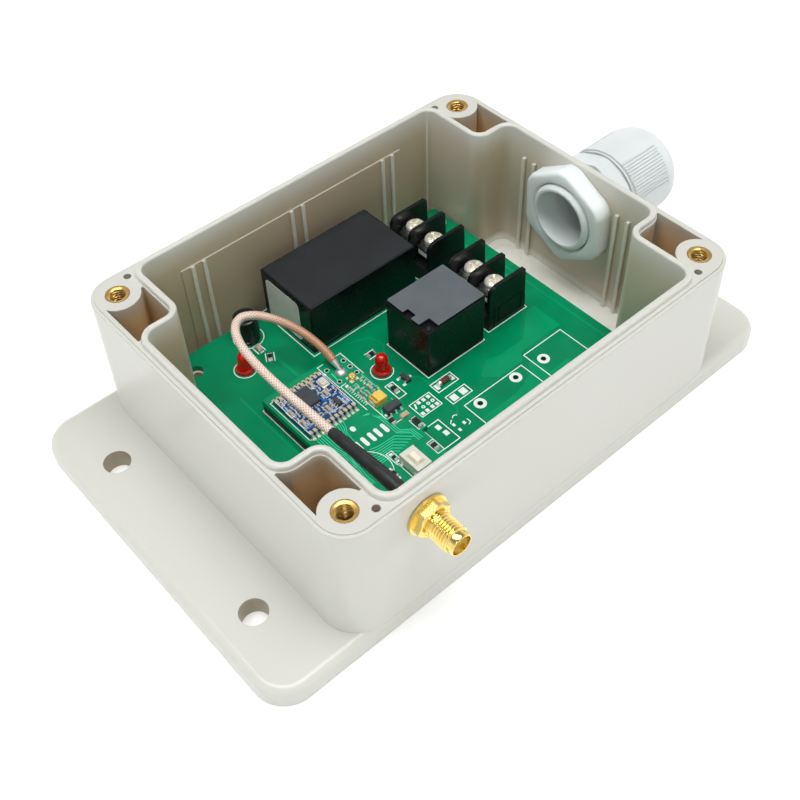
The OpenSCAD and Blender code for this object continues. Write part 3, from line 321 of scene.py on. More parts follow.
# Silkscreen: white epoxy ink, matt and slightly uneven
ink = finish("white_board_ink", "#f2f6f4", 0.55, clouds=("#f7faf9", "#e8efec", 1.2),
             relief=(0.3, 0.004))

# Label: white vinyl, satin
label = finish("white_vinyl_label", "#d9dedd", 0.45, clouds=("#dfe3e2", "#d0d6d5", 5),
               relief=(1.5, 0.01))

# Power block: polished black phenolic shell, almost a mirror on its sides
block_black = finish("polished_black_case", "#0d1113", 0.26, clouds=("#111517", "#090c0d", 12),
                     gloss=(0.2, 0.34, 6), relief=(1.0, 0.0025, 0.25), IOR=1.37)
block_top = finish("satin_black_case_top", "#1e2225", 0.4, clouds=("#22262a", "#1a1d20", 8),
                   relief=(0.3, 0.006, 0.25), IOR=1.45)
relay_top = finish("etched_relay_top", "#5a6165", 0.4, clouds=("#60676b", "#545b5f", 6),
                   relief=(0.25, 0.008), IOR=1.5)

# Terminal strips: moulded black polyamide with a light sheen
black_nylon = finish("moulded_black_polyamide", "#0d1011", 0.32, clouds=("#15181a", "#0b0e0f", 5),
                     gloss=(0.25, 0.42, 3), relief=(0.5, 0.004, 0.12), IOR=1.36)

# Chip packages: dull black moulding compound
compound = finish("chip_moulding_compound", "#34393d", 0.48, clouds=("#3a3f43", "#2e3337", 1.5),
                  relief=(0.15, 0.006))

# Clamps and plates of the terminals: zinc-plated steel, a dark mirror between the black walls
clamp_steel = finish("zinc_plated_steel", "#b4b6b0", 0.22, clouds=("#bfc1bb", "#a6a8a2", 1.5),
                     Metallic=1.0)

# Screws and the crystal's can: bright nickel on steel, with small dents that break up the shine
nickel = finish("nickel_plated_steel", "#f8f5e4", 0.2, clouds=("#fcf9ea", "#efebd9", 1.2),
                relief=(0.5, 0.03), Metallic=0.5)

# Solder and leads: tin, brighter and softer in its lights than nickel
tin = finish("tinned_lead", "#e4e6e4", 0.3, clouds=("#edefed", "#d2d5d3", 0.9), relief=(0.4, 0.012),
             Metallic=0.8)

# Pads beside the module: gold on nickel, thinly soldered
pad_gold = finish("immersion_gold_pad", "#ecd9a4", 0.3, clouds=("#f3e3b4", "#dcc78e", 0.8),
                  relief=(0.3, 0.006), Metallic=0.6)

# Bare pads with hot-air tin: the white reflection they show seen flat on is painted into a pale,
# barely metal colour
tin_painted_white = finish("bare_tinned_pad", "#eef2f0", 0.35, clouds=("#f3f6f4", "#e2e9e6", 1),
                   relief=(0.4, 0.006), Metallic=0.1)

# Chip resistors and capacitors
ceramic_tan = finish("fired_ceramic_tan", "#c0a07e", 0.45, clouds=("#cbad8c", "#b2906c", 0.6),
                     relief=(0.15, 0.006))
ceramic_dark = finish("glazed_resistor_black", "#1b1d20", 0.3, clouds=("#222428", "#141618", 0.6),
                      relief=(0.15, 0.005))
diode_glass = finish("diode_brown_glass", "#6b2c1c", 0.12, clouds=("#7b3521", "#571f13", 0.9),
                     relief=(0.4, 0.004), IOR=1.5, Coat_Weight=0.6)

# Tantalum capacitor: yellow moulded epoxy
tantalum_yellow = finish("moulded_epoxy_yellow", "#efc858", 0.4, clouds=("#f3d067", "#e8be4a", 1.2),
                         relief=(0.2, 0.006))
tantalum_band = finish("printed_band_brown", "#a87428", 0.45, clouds=("#b07c30", "#9c6a20", 0.8),
                       relief=(0.2, 0.005))

# Capacitor: black shrink sleeve on an aluminium can
can_sleeve = finish("capacitor_shrink_sleeve", "#121417", 0.2, clouds=("#17191d", "#0d0f11", 2),
                    relief=(1.0, 0.006), IOR=1.53)
aluminium = finish("drawn_aluminium", "#c7cbcd", 0.3, clouds=("#cfd3d5", "#b4b9bc", 1.5),
                   relief=(0.3, 0.006), Metallic=1.0)

# Lamps: clear epoxy dyed red, wet-looking, with the light held inside
lens = finish("dyed_clear_epoxy", "#ee1408", 0.07, clouds=("#f41a0b", "#e41006", 2),
              relief=(1.0, 0.003), IOR=1.5, Transmission_Weight=0.35, Subsurface_Weight=0.3,
              Subsurface_Scale=1.5 * MM)

# Learn switch: white liquid-crystal polymer, slightly warm
switch_white = finish("switch_polymer_white", "#d6d6ca", 0.4, clouds=("#dadacf", "#d0d0c3", 2),
                      relief=(0.3, 0.005, 0.1))
# Button of the switch, moulded in a warmer white than its housing
button_white = finish("button_polymer_white", "#f4ecd9", 0.38, clouds=("#f6efde", "#efe6d2", 2),
                      relief=(0.3, 0.005, 0.1))

# Antenna insulator: turned PTFE, waxy
ptfe = finish("turned_ptfe", "#ece7d8", 0.45, clouds=("#f0ebdd", "#e5dfce", 1.5),
              relief=(0.3, 0.004), Subsurface_Weight=0.2, Subsurface_Scale=1 * MM)

# Pigtail: copper braid under a clear jacket, so pink, fine-grained and coated
braid = finish("braided_copper_under_jacket", "#f7e2d5", 0.4, relief=(0.12, 0.012), Metallic=0.05,
               Coat_Weight=0.4, Coat_Roughness=0.2)
# Painted shade: recesses between the carriers darken toward brown
painted_recess_shade(braid, "#fdeee4", "#f3d5c3", "#b97c5a", 0.35)
# Painted shade: the braid darkens toward the solder end
fading(braid, "#bd8867", -30, -17)
# Core under the carriers: a dark colour that paints the shadow in the gaps of the weave
braid_gap_shadow = finish("braid_shadow", "#98674c", 0.6, clouds=("#a37154", "#8b5b41", 0.8),
                    relief=(0.2, 0.01), Metallic=0.2)

# Heat-shrink: polyolefin shrunk on, satin with long shallow ripples
shrink = finish("shrunk_polyolefin", "#191b1e", 0.4, clouds=("#1f2124", "#141618", 3),
                gloss=(0.32, 0.5, 3), relief=(1.6, 0.03), IOR=1.5)

# Shapes, all in millimetres


def loft(mesh, rings, index=0, capped=True, closed=False):
    """Skin over rings of equal count, with end caps or joined end to end."""
    rows = [[mesh.verts.new(p) for p in ring] for ring in rings]
    pairs = list(zip(rows, rows[1:])) + ([(rows[-1], rows[0])] if closed else [])
    for low, high in pairs:
        for i in range(len(low)):
            j = (i + 1) % len(low)
            mesh.faces.new((low[i], low[j], high[j], high[i])).material_index = index
    if capped and not closed:
        mesh.faces.new(rows[0][::-1]).material_index = index
        mesh.faces.new(rows[-1]).material_index = index


def rounded(x, y, length, width, r=0.0, angle=0.0, steps=3):
    """Plan outline of a rounded rectangle about (x, y), turned by angle degrees."""
    r = max(r, 1e-4)
    points = []
    for quarter, (sx, sy) in enumerate(((1, 1), (-1, 1), (-1, -1), (1, -1))):
        for k in range(steps + 1):
            a = math.radians(90 * (quarter + k / steps))
            points.append((sx * (length / 2 - r) + r * math.cos(a),
                           sy * (width / 2 - r) + r * math.sin(a)))
    c, s = math.cos(math.radians(angle)), math.sin(math.radians(angle))
    return [(x + px * c - py * s, y + px * s + py * c) for px, py in points]


def around(sides):
    """Angles that part a full turn into equal sides."""
    return [2 * math.pi * k / sides for k in range(sides)]


def round_plan(x, y, r, sides=24):
    return [(x + r * math.cos(a), y + r * math.sin(a)) for a in around(sides)]


def at(plan, z):
    return [(x, y, z) for x, y in plan]


def slab(mesh, plan, low, high, index=0):
    loft(mesh, [at(plan, low), at(plan, high)], index)


def block(mesh, x, y, z, length, width, height, edge=0.06, angle=0.0, index=0):
    """Moulded block with its top and upright edges eased."""
    base = rounded(x, y, length, width, edge, angle)
    top = rounded(x, y, length - 2 * edge, width - 2 * edge, edge * 0.6, angle)
    loft(mesh, [at(base, z), at(base, z + height - edge), at(top, z + height)], index)


def turned(mesh, x, y, z, profile, sides=32, index=0):
    """Round solid about a vertical axis from pairs of a radius and a height above z."""
    loft(mesh, [at(round_plan(x, y, max(r, 1e-3), sides), z + height) for r, height in profile],
         index)


def annulus(mesh, x, y, inner, outer, low, high, sides=28, index=0):
    loft(mesh, [at(round_plan(x, y, outer, sides), low), at(round_plan(x, y, outer, sides), high),
                at(round_plan(x, y, inner, sides), high), at(round_plan(x, y, inner, sides), low)],
         index, closed=True)


def stroke(mesh, points, width, low, high, closed=False, index=0):
    """Flat line of ink or copper along plan points, with mitred corners."""
    spots = [Vector(p) for p in points]
    count = len(spots)
    rings = []
    for i, here in enumerate(spots):
        into = here - spots[i - 1] if closed or i else None
        out = spots[(i + 1) % count] - here if closed or i < count - 1 else None
        into, out = (into or out).normalized(), (out or into).normalized()
        mean = (into + out).normalized() if (into + out).length > 1e-6 else out
        side = Vector((-mean.y, mean.x)) * (width / 2 / max(0.4, mean.dot(out)))
        left, right = here + side, here - side
        rings.append([(*left, low), (*right, low), (*right, high), (*left, high)])
    loft(mesh, rings, index, closed=closed)


def arc(x, y, r, start, end, steps):
    turns = [math.radians(start + (end - start) * k / steps) for k in range(steps + 1)]
    return [(x + r * math.cos(a), y + r * math.sin(a)) for a in turns]


def box_line(mesh, x0, y0, x1, y1, width, low, high):
    stroke(mesh, [(x0, y0), (x1, y0), (x1, y1), (x0, y1)], width, low, high, closed=True)


def eased_path(points, step):
    """Smooth curve through the route's points, cut at about equal steps."""
    knots = [Vector(p) for p in points]
    knots = [2 * knots[0] - knots[1]] + knots + [2 * knots[-1] - knots[-2]]
    fine = []
    for a, b, c, d in zip(knots, knots[1:], knots[2:], knots[3:]):
        for k in range(24):
            t = k / 24
            fine.append(0.5 * ((2 * b) + (c - a) * t + (2 * a - 5 * b + 4 * c - d) * t ** 2
                               + (3 * b - a - 3 * c + d) * t ** 3))
    fine.append(knots[-2])
    path, gone = [fine[0]], 0.0
    for p, q in zip(fine, fine[1:]):
        length = (q - p).length
        while gone + length >= step:
            p = p + (q - p).normalized() * (step - gone)
            length, gone = (q - p).length, 0.0
            path.append(p)
        gone += length
    if (path[-1] - fine[-1]).length > step * 0.3:
        path.append(fine[-1])
    else:
        path[-1] = fine[-1]
    return path


def frames_along(path):
    """A side and an up direction at each point, carried along without twisting."""
    frames = []
    up = Vector((0, 0, 1))
    for i, here in enumerate(path):
        ahead = (path[min(i + 1, len(path) - 1)] - path[max(i - 1, 0)]).normalized()
        side = ahead.cross(up).normalized()
        up = side.cross(ahead).normalized()
        frames.append((here, side, up, ahead))
    return frames


def tube(mesh, frames, radii, sides=24, index=0):
    rings = [[here + (side * math.cos(a) + up * math.sin(a)) * r for a in around(sides)]
             for (here, side, up, _), r in zip(frames, radii)]
    loft(mesh, rings, index)


def new_piece(name, mesh, finishes, body="receiver", sharp=32, replaces=()):
    """Turns the millimetre mesh into a piece that rides on a body."""
    bmesh.ops.recalc_face_normals(mesh, faces=mesh.faces)
    data = bpy.data.meshes.new(name)
    mesh.to_mesh(data)
    mesh.free()
    data.transform(Matrix.Scale(MM, 4))
    for material in finishes:
        data.materials.append(material)
    data.shade_smooth()
    data.set_sharp_from_angle(angle=math.radians(sharp))
    piece = bpy.data.objects.new(name, data)
    bpy.context.scene.collection.objects.link(piece)
    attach(piece, body)
    if replaces:
        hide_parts(*replaces)


# Levels and places repeated from the solids
BOARD_TOP = 9.6
PIN_END = 6.8
RADIO_TOP = 13.7
MODULE_X, MODULE_Y, MODULE_TOP = -27.9, 3.0, 14.7
MODULE_HALF = 7.0
PAD_PITCH = 1.27
SEAT_TOP = 18.4
HEAD_Z = 19.45
STRIP_STARTS = (17.6, -4.5)
STRIP_LENGTH = 15.4
POLE_X = 27.2
# Each terminal screw: its place along Y, the turn of its cross and the body it rides on
POLES = {"terminal_screw_1": (28.9, 0.5, "supply_screw_back"),
         "terminal_screw_2": (21.7, 1.1, "supply_screw_front"),
         "terminal_screw_3": (6.8, 0.2, "load_screw_back"),
         "terminal_screw_4": (-0.4, 0.85, "load_screw_front")}
LAMPS = {"power_lamp": (-31.4, 26.8), "status_lamp": (-7, 3.5)}
CAN_X, CAN_Y = -24.3, 35.2
JOINT_X, JOINT_Y = -16.7, 7.1
SWITCH_X, SWITCH_Y = -22.4, -26.1
INSERT_X, INSERT_Y = 52.3, 40.0
ANTENNA_X, ANTENNA_Z = -37.8, 31.9
GLAND_Z = 27
# Thickness of the copper, of the ink over it and of the tin on a bare pad
COPPER = 0.035
INK = 0.03
TINNING = 0.02


def copper_on_main_board():
    mesh = bmesh.new()
    low, high = BOARD_TOP, BOARD_TOP + COPPER
    # Wide copper that carries the load current
    pours = [
        [(14.2, -11.2), (17.4, -12.2), (26.0, -12.4), (33.9, -5.9), (36.5, -5.9), (36.5, -15.2),
         (22.6, -15.2), (20.6, -17.4), (12.6, -17.4), (9.4, -14.4)],
        [(12.5, -23.9), (19.1, -21.6), (21.3, -18.9), (22.9, -18.9), (22.9, -24.5), (29.5, -24.5),
         (29.5, -37.8), (0.6, -37.8), (0.6, -23.9)]]
    for plan in pours:
        slab(mesh, plan, low, high)
    tracks = [
        ([(-23.4, 27), (-23.4, 25.2), (-23.1, 15.6), (-23.1, 13.4)], 0.9),
        ([(3.3, -6.4), (3.3, -8.2)], 0.7), ([(3.4, -11.4), (3.7, -13.3)], 0.7),
        ([(-1.3, -15.4), (-1.5, -17.4), (-3.3, -19.6)], 0.5), ([(3.4, -16.4), (3.4, -18.4)], 0.7),
        ([(-3.1, 7.2), (-0.9, 9.9), (-1.9, 14.2), (-8.4, 16.9)], 0.4),
        ([(-3.4, -2.4), (-1.4, -4.4), (-1.2, -7.8)], 0.5),
        ([(-9.7, -6.2), (-10.9, -9.2), (-10.9, -16.4)], 0.4),
        ([(36, 33), (39.4, 30), (39.4, 5), (36, 2.4)], 1.6),
        ([(-38, 20), (-38, -20), (-30, -34)], 0.6), ([(-30.1, 26.8), (-28, 30), (-27, 33)], 0.5),
        ([(36.2, 14), (41.8, 14), (41.8, -30)], 0.6)]
    for points, width in tracks:
        stroke(mesh, points, width, low, high)
    new_piece("main_board_copper", mesh, [mask_copper])


def ink_on_main_board():
    mesh = bmesh.new()
    low, high = BOARD_TOP, BOARD_TOP + COPPER + INK
    line = 0.22
    # Outlines of the relay, the edge field, the power block, free places and small parts
    boxes = [(-0.2, -6.0, 18.8, 9.4), (-36.3, 13.0, -33.6, -32.2), (-16.2, 18.6, 19.4, 40.2),
             (35.2, -16.4, 22.1, -33.4), (0.1, -18.3, 19.3, -33.4), (-9.9, -6.1, -7.5, -0.9),
             (-1.6, -11.2, 4.9, -8.0), (-1.5, -16.15, 4.8, -13.3), (-9.6, -14.2, -3.3, -9.4),
             (-12.3, -24.7, -7.4, -17.2)]
    boxes += [(21.35, y0 - 0.4, 34.9, y0 + STRIP_LENGTH + 0.4) for y0 in STRIP_STARTS]
    for box in boxes:
        box_line(mesh, *box, line, low, high)
    # Rings round the lamps and the capacitor
    for x, y in LAMPS.values():
        stroke(mesh, arc(x, y, 2.85, 20, 340, 40), line, low, high)
    stroke(mesh, round_plan(CAN_X, CAN_Y, 3.9, 48), line, low, high, closed=True)
    # Lines along both sides of the chip parts
    for x, y, angle in ((-24.8, 30.2, 90), (-24.4, 26, 60), (-5.3, 9.5, 0)):
        c, s = math.cos(math.radians(angle)), math.sin(math.radians(angle))
        for side in (-1.05, 1.05):
            ends = [(x + c * t - s * side, y + s * t + c * side) for t in (-1.5, 1.5)]
            stroke(mesh, ends, line, low, high)
    stroke(mesh, [(-8.3, -10.0), (-9.0, -11.4)], 0.4, low, high)
    for points in (arc(-3.9, -19.6, 0.8, 30, 150, 8), [(-2.2, -21.6), (-2.2, -22.8), (-3.0, -23.2)],
                   [(-5.2, -19.4), (-6.2, -20.2)]):
        stroke(mesh, points, line, low, high)
    new_piece("main_board_ink", mesh, [ink])


def pads_on_main_board():
    mesh = bmesh.new()
    low, high = BOARD_TOP, BOARD_TOP + COPPER + TINNING
    for x, y in ((24.9, -20.5), (15.5, -20.2), (3.4, -20.3)):
        annulus(mesh, x, y, 0.72, 1.6, low, high)
    for x, y in ((-5.7, -11.9), (-7.3, -11.9), (-4.3, -11.9)):
        annulus(mesh, x, y, 0.2, 0.5, low, high, 16)
    for x, y, length, width in (
            (-4.3, -10.3, 0.9, 1.0), (-5.8, -10.3, 0.9, 1.0), (-7.3, -10.2, 0.9, 1.0),
            (-4.2, -13.35, 0.9, 1.0), (-5.6, -13.3, 0.9, 1.0), (-7.3, -13.4, 0.9, 1.0),
            (-8.75, -13.4, 0.9, 1.0), (0.1, -14.75, 1.8, 1.9), (3.1, -14.7, 1.8, 1.9),
            (-0.7, -9.6, 1.0, 1.7), (4.0, -9.6, 1.0, 1.7), (-9.0, -19.0, 1.2, 1.5),
            (-8.7, -21.4, 1.2, 1.5), (-5.8, -20.9, 0.7, 0.9), (-3.5, -22.0, 0.7, 0.9),
            (-5.7, -22.9, 0.7, 0.9), (-5.9, -1.3, 0.9, 0.7), (-5.9, -3.6, 0.9, 0.7),
            (-3.2, -2.4, 0.9, 0.7), (-24.8, 31.4, 1.1, 0.8), (-24.8, 29.0, 1.1, 0.8),
            (-8.7, -1.7, 1.2, 0.9), (-8.7, -4.1, 1.2, 0.9)):
        slab(mesh, rounded(x, y, length, width, 0.08), low, high)
    new_piece("main_board_pads", mesh, [tin_painted_white])


def chip(mesh, x, y, z, length, width, height, angle, body_index):
    """Ceramic chip part: body, wrapped metal ends and the solder that creeps up them."""
    c, s = math.cos(math.radians(angle)), math.sin(math.radians(angle))
    block(mesh, x, y, z + 0.02, length - 0.5, width - 0.05, height - 0.03, 0.04, angle, body_index)
    for end in (-1, 1):
        ex, ey = x + c * end * (length / 2 - 0.2), y + s * end * (length / 2 - 0.2)
        block(mesh, ex, ey, z, 0.42, width, height, 0.05, angle, 1)
        fx, fy = x + c * end * (length / 2 + 0.16), y + s * end * (length / 2 + 0.16)
        wide = rounded(fx, fy, 0.42, width * 0.95, 0.12, angle)
        thin = rounded(fx - c * end * 0.14, fy - s * end * 0.14, 0.12, width * 0.8, 0.04, angle)
        loft(mesh, [at(wide, z), at(thin, z + height * 0.62)], 1)


def small_parts_on_main_board():
    mesh = bmesh.new()
    for x, y, length, width, height, angle, index in (
            (-24.8, 30.2, 2, 1.2, 0.8, 90, 0), (-24.4, 26, 2, 1.2, 0.55, 60, 2),
            (-5.3, 9.5, 2, 1.2, 0.55, 0, 2), (-8.7, -2.9, 2, 1.2, 0.55, 90, 2)):
        chip(mesh, x, y, BOARD_TOP, length, width, height, angle, index)
    # Glass diode with its metal ends
    rings = []
    x, y, z = 1.6, -9.6, BOARD_TOP + 0.79
    for dx, r in ((-1.9, 0.72), (-1.3, 0.78), (-1.25, 0.62), (1.25, 0.62), (1.3, 0.78),
                  (1.9, 0.72)):
        rings.append([(x + dx, y + r * math.cos(a), z + r * math.sin(a)) for a in around(20)])
    loft(mesh, rings[:2], 1)
    loft(mesh, rings[2:4], 3)
    loft(mesh, rings[4:], 1)
    new_piece("main_board_small_parts", mesh, [ceramic_tan, tin, ceramic_dark, diode_glass],
              replaces=("main_board_chips",))


def transistor_on_main_board():
    mesh = bmesh.new()
    x, y, z = -4.5, -2.4, BOARD_TOP
    block(mesh, x, y, z + 0.1, 1.3, 2.9, 0.95, 0.12, 0, 0)
    for px, py, side in ((x - 0.95, y - 0.95, -1), (x - 0.95, y + 0.95, -1), (x + 0.95, y, 1)):
        for x0, x1, z0, z1 in ((0, 0.45, 0.45, 0.6), (0.3, 0.5, 0.05, 0.58),
                               (0.35, 0.8, 0.0, 0.14)):
            cx = px + side * ((x0 + x1) / 2 - 0.35)
            block(mesh, cx, py, z + z0, x1 - x0, 0.4, z1 - z0, 0.02, 0, 1)
    new_piece("main_board_transistor", mesh, [compound, tin],
              replaces=("main_board_transistors",))


def power_block_label():
    """Bare white label low on the end of the power block."""
    mesh = bmesh.new()
    face_x, thickness = -15.4, 0.06
    plan = rounded(30.8, 16.6, 13.4, 12.6, 1.4, steps=5)
    loft(mesh, [[(face_x - out, y, z) for y, z in plan] for out in (0.0, thickness)])
    new_piece("power_block_label", mesh, [label])


def relay_details():
    """Etched grey top with its sunk corner left black, and the gate mark in that corner."""
    mesh = bmesh.new()
    x0, x1, y0, y1 = 0.1, 18.5, -5.7, 9.1
    plan = [(x0 + 3.3, y0), (x1 - 0.3, y0), (x1, y0 + 0.3), (x1, y1 - 0.3), (x1 - 0.3, y1),
            (x0 + 0.3, y1), (x0, y1 - 0.3), (x0, 3.3), (1.75, 3.3), (1.75, 0.4), (x0, 0.4),
            (x0, -2.4), (x0 + 3.1, -2.4), (x0 + 3.3, -2.6)]
    slab(mesh, plan, 25.18, 25.23)
    turned(mesh, 1.5, -4.3, 24.38, [(0.5, 0), (0.48, 0.08), (0.3, 0.12), (0.25, 0.04)], 24, 1)
    new_piece("relay_top_face", mesh, [relay_top, block_top])


def power_block_top():
    mesh = bmesh.new()
    slab(mesh, rounded(1.6, 29.4, 33.1, 19.1, 0.3), 24.58, 24.63)
    new_piece("power_block_top_face", mesh, [block_top])


def pan_head(mesh, x, y, z, r, height, turn):
    """Screw head with a cross and a slot pressed into its dome."""
    sides, rows = 72, 16
    lip, sink = 0.35 * height, 0.47 * height
    rings = [at(round_plan(x, y, r * 0.94, sides), z)]
    for row in range(rows + 1):
        # The first row is the upright rim, the others step in over the dome
        radius = r * 0.985 * (1 - row / rows) + 1e-3 if row else r
        dome = (height - lip) * math.sqrt(max(0.0, 1 - (radius / r) ** 2.4)) if row else 0.0
        ring = []
        for px, py in round_plan(0, 0, radius, sides):
            u = px * math.cos(turn) + py * math.sin(turn)
            v = -px * math.sin(turn) + py * math.cos(turn)
            depth = 0.0
            for along, across, reach, wide in ((u, v, 0.83 * r, 0.145 * r),
                                               (v, u, 0.6 * r, 0.16 * r)):
                if abs(along) < reach and abs(across) < wide:
                    depth = max(depth, sink * min(1.0, (wide - abs(across)) / (0.06 * r) + 0.15))
            ring.append((x + px, y + py, z + lip + dome - depth))
        rings.append(ring)
    loft(mesh, rings)


def button_cap():
    """Button of the learn switch, with the round shoulders of a moulded part."""
    mesh = bmesh.new()
    rings = []
    for height, inset, corner in ((1.9, 0.0, 0.1), (2.8, 0.0, 0.1), (2.98, 0.16, 0.35),
                                  (3.3, 0.2, 0.45), (3.5, 0.28, 0.5), (3.63, 0.42, 0.45),
                                  (3.7, 0.62, 0.4)):
        plan = rounded(SWITCH_X, SWITCH_Y, 2.2 - 2 * inset, 3.6 - 2 * inset, corner, steps=5)
        rings.append(at(plan, RADIO_TOP + height))
    loft(mesh, rings)
    new_piece("learn_button_cap", mesh, [button_white], body="learn_button",
              sharp=60, replaces=("learn_button",))


def board_screw_heads():
    """The three screws that hold the main board."""
    mesh = bmesh.new()
    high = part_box("board_screws")[1]
    x, y = high[0] / MM - 2.7, high[1] / MM - 2.7
    for sx, sy, turn in ((-1, -1, 0.4), (1, -1, 1.0), (1, 1, 0.2)):
        pan_head(mesh, sx * x, sy * y, BOARD_TOP, 2.1, 1.4, turn)
        turned(mesh, sx * x, sy * y, BOARD_TOP, [(1.2, -5.1), (1.2, 0.1)], 24)
    new_piece("board_screw_heads", mesh, [nickel], replaces=("board_screws",))


def terminal_screw(node):
    y, turn, body = POLES[node]
    mesh = bmesh.new()
    pan_head(mesh, POLE_X, y, HEAD_Z, 2.65, 1.8, turn)
    turned(mesh, POLE_X, y, HEAD_Z, [(1.5, -7.35), (1.5, 0.1)])
    new_piece(node + "_head", mesh, [nickel], body=body, sharp=40, replaces=(node,))


def clamp_plates():
    """Square clamps with a groove round the edge and a slightly dished top."""
    mesh = bmesh.new()
    for y, _, _ in POLES.values():
        rings = []
        for side, r, z in ((5.5, 0.4, 0.0), (5.5, 0.4, 0.3), (5.2, 0.4, 0.36), (5.2, 0.4, 0.6),
                           (5.5, 0.4, 0.66), (5.5, 0.4, 0.9), (5.2, 0.3, 1.0), (4.3, 1.4, 0.97)):
            rings.append(at(rounded(POLE_X, y, side, side, r, steps=4), SEAT_TOP + z))
        loft(mesh, rings)
    new_piece("terminal_clamp_plates", mesh, [clamp_steel],
              replaces=("terminal_clamps",))


def contact_plates():
    """Contact plates on the seats, with eased tongues bent down in front, and their board pins."""
    mesh = bmesh.new()
    for y, _, _ in POLES.values():
        block(mesh, 27.35, y, 17.6, 7.5, 5.8, 0.8, 0.15)
        near, far = y - 2.2, y + 2.2
        tongue = ((23.75, 24.2, 16.1), (23.6, 24.24, 16.25), (23.6, 24.24, 17.9),
                  (23.75, 24.24, 18.2))
        loft(mesh, [[(x0, near, z), (x1, near, z), (x1, far, z), (x0, far, z)]
                    for x0, x1, z in tongue], 1)
        turned(mesh, 29.6, y, PIN_END, [(0.25, 0.05), (0.4, 0.3), (0.4, 10.9)], 16, 1)
    # Tongues and pins take the white tin finish, a painted highlight on the steel
    new_piece("terminal_contact_plates", mesh, [clamp_steel, tin_painted_white],
              replaces=("terminal_plates",))


def terminal_block_panels():
    """Shallow frames and the upright step on the outer faces of both terminal strips."""
    mesh = bmesh.new()
    for y0 in STRIP_STARTS:
        for face_y, out in ((y0, -0.14), (y0 + STRIP_LENGTH, 0.14)):
            for a, b, c, d in ((25.0, 10.6, 33.2, 10.9), (25.0, 15.6, 33.2, 15.9),
                               (25.0, 10.6, 25.3, 15.9), (32.9, 10.6, 33.2, 15.9),
                               (23.6, 9.9, 23.9, 16.9)):
                loft(mesh, [[(a, level, b), (c, level, b), (c, level, d), (a, level, d)]
                            for level in (face_y, face_y + out)])
    new_piece("terminal_block_frames", mesh, [black_nylon])


def smoothing_can():
    mesh = bmesh.new()
    x, y, z = CAN_X, CAN_Y, BOARD_TOP
    turned(mesh, x, y, z, [(2.7, 0), (3.1, 0.15), (3.15, 0.8), (2.9, 1.05), (2.9, 1.25),
                           (3.15, 1.55), (3.15, 7.1), (3.0, 7.5), (2.75, 7.66), (2.4, 7.62)], 48)
    turned(mesh, x, y, z, [(2.45, 7.3), (2.45, 7.5), (2.2, 7.53), (0.0, 7.55)], 48, 1)
    # Cross pressed into the top of the can, and its leads
    for angle in (20, 110):
        c, s = math.cos(math.radians(angle)), math.sin(math.radians(angle))
        stroke(mesh, [(x - 1.7 * c, y - 1.7 * s), (x + 1.7 * c, y + 1.7 * s)], 0.16, z + 7.5,
               z + 7.6, index=1)
    for side in (-1.25, 1.25):
        turned(mesh, x + side, y, PIN_END, [(0.3, 0), (0.3, 3.0)], 16, 1)
    new_piece("smoothing_can", mesh, [can_sleeve, aluminium],
              replaces=("smoothing_capacitor",))


def lamp(node, x, y):
    mesh = bmesh.new()
    z = BOARD_TOP
    turned(mesh, x, y, z, [(2.2, 0), (2.3, 0.15), (2.3, 0.9), (2.2, 1.05), (1.68, 1.1), (1.62, 1.3),
                           (1.6, 4.2), (1.5, 4.8), (1.22, 5.3), (0.8, 5.62), (0.3, 5.77),
                           (0.0, 5.8)], 48)
    # Lead frame inside: post with a cup, and the flag beside it
    turned(mesh, x - 0.45, y, z, [(0.28, 0.4), (0.28, 3.0), (0.55, 3.5), (0.5, 3.55), (0.25, 3.2)],
           20, 1)
    block(mesh, x + 0.55, y, z + 0.4, 0.5, 0.7, 2.9, 0.05, index=1)
    for side in (-1.27, 1.27):
        turned(mesh, x + side, y, PIN_END, [(0.3, 0), (0.3, 2.85)], 16, 1)
    new_piece(node + "_lens", mesh, [lens, tin], replaces=(node,))


def insert_threads():
    """Brass inserts: chamfered mouth, a real thread turn by turn, knurled rim."""
    mesh = bmesh.new()
    sides, steps, pitch = 48, 84, 0.7
    core, tooth = 1.7, 0.48
    top, bottom = 39.7, 31.7
    start = top - 0.15
    for x in (-INSERT_X, INSERT_X):
        for y in (-INSERT_Y, INSERT_Y):
            rim = [(x + r * math.cos(a), y + r * math.sin(a))
                   for a, r in zip(around(sides), [2.8, 2.66] * (sides // 2))]
            rings = [at(round_plan(x, y, 2.8, sides), bottom), at(rim, top - 0.25),
                     at(rim, top - 0.02), at(round_plan(x, y, 2.55, sides), top),
                     at(round_plan(x, y, 2.3, sides), top - 0.08)]
            for k in range(steps + 1):
                z = start - (start - bottom) * k / steps
                ring = []
                for i, a in enumerate(around(sides)):
                    r = core + tooth * abs(2 * ((z / pitch + i / sides) % 1) - 1)
                    ring.append((x + r * math.cos(a), y + r * math.sin(a), z))
                rings.append(ring)
            loft(mesh, rings, capped=False, closed=True)
    new_piece("lid_insert_threads", mesh, [brass], sharp=45,
              replaces=("lid_inserts",))


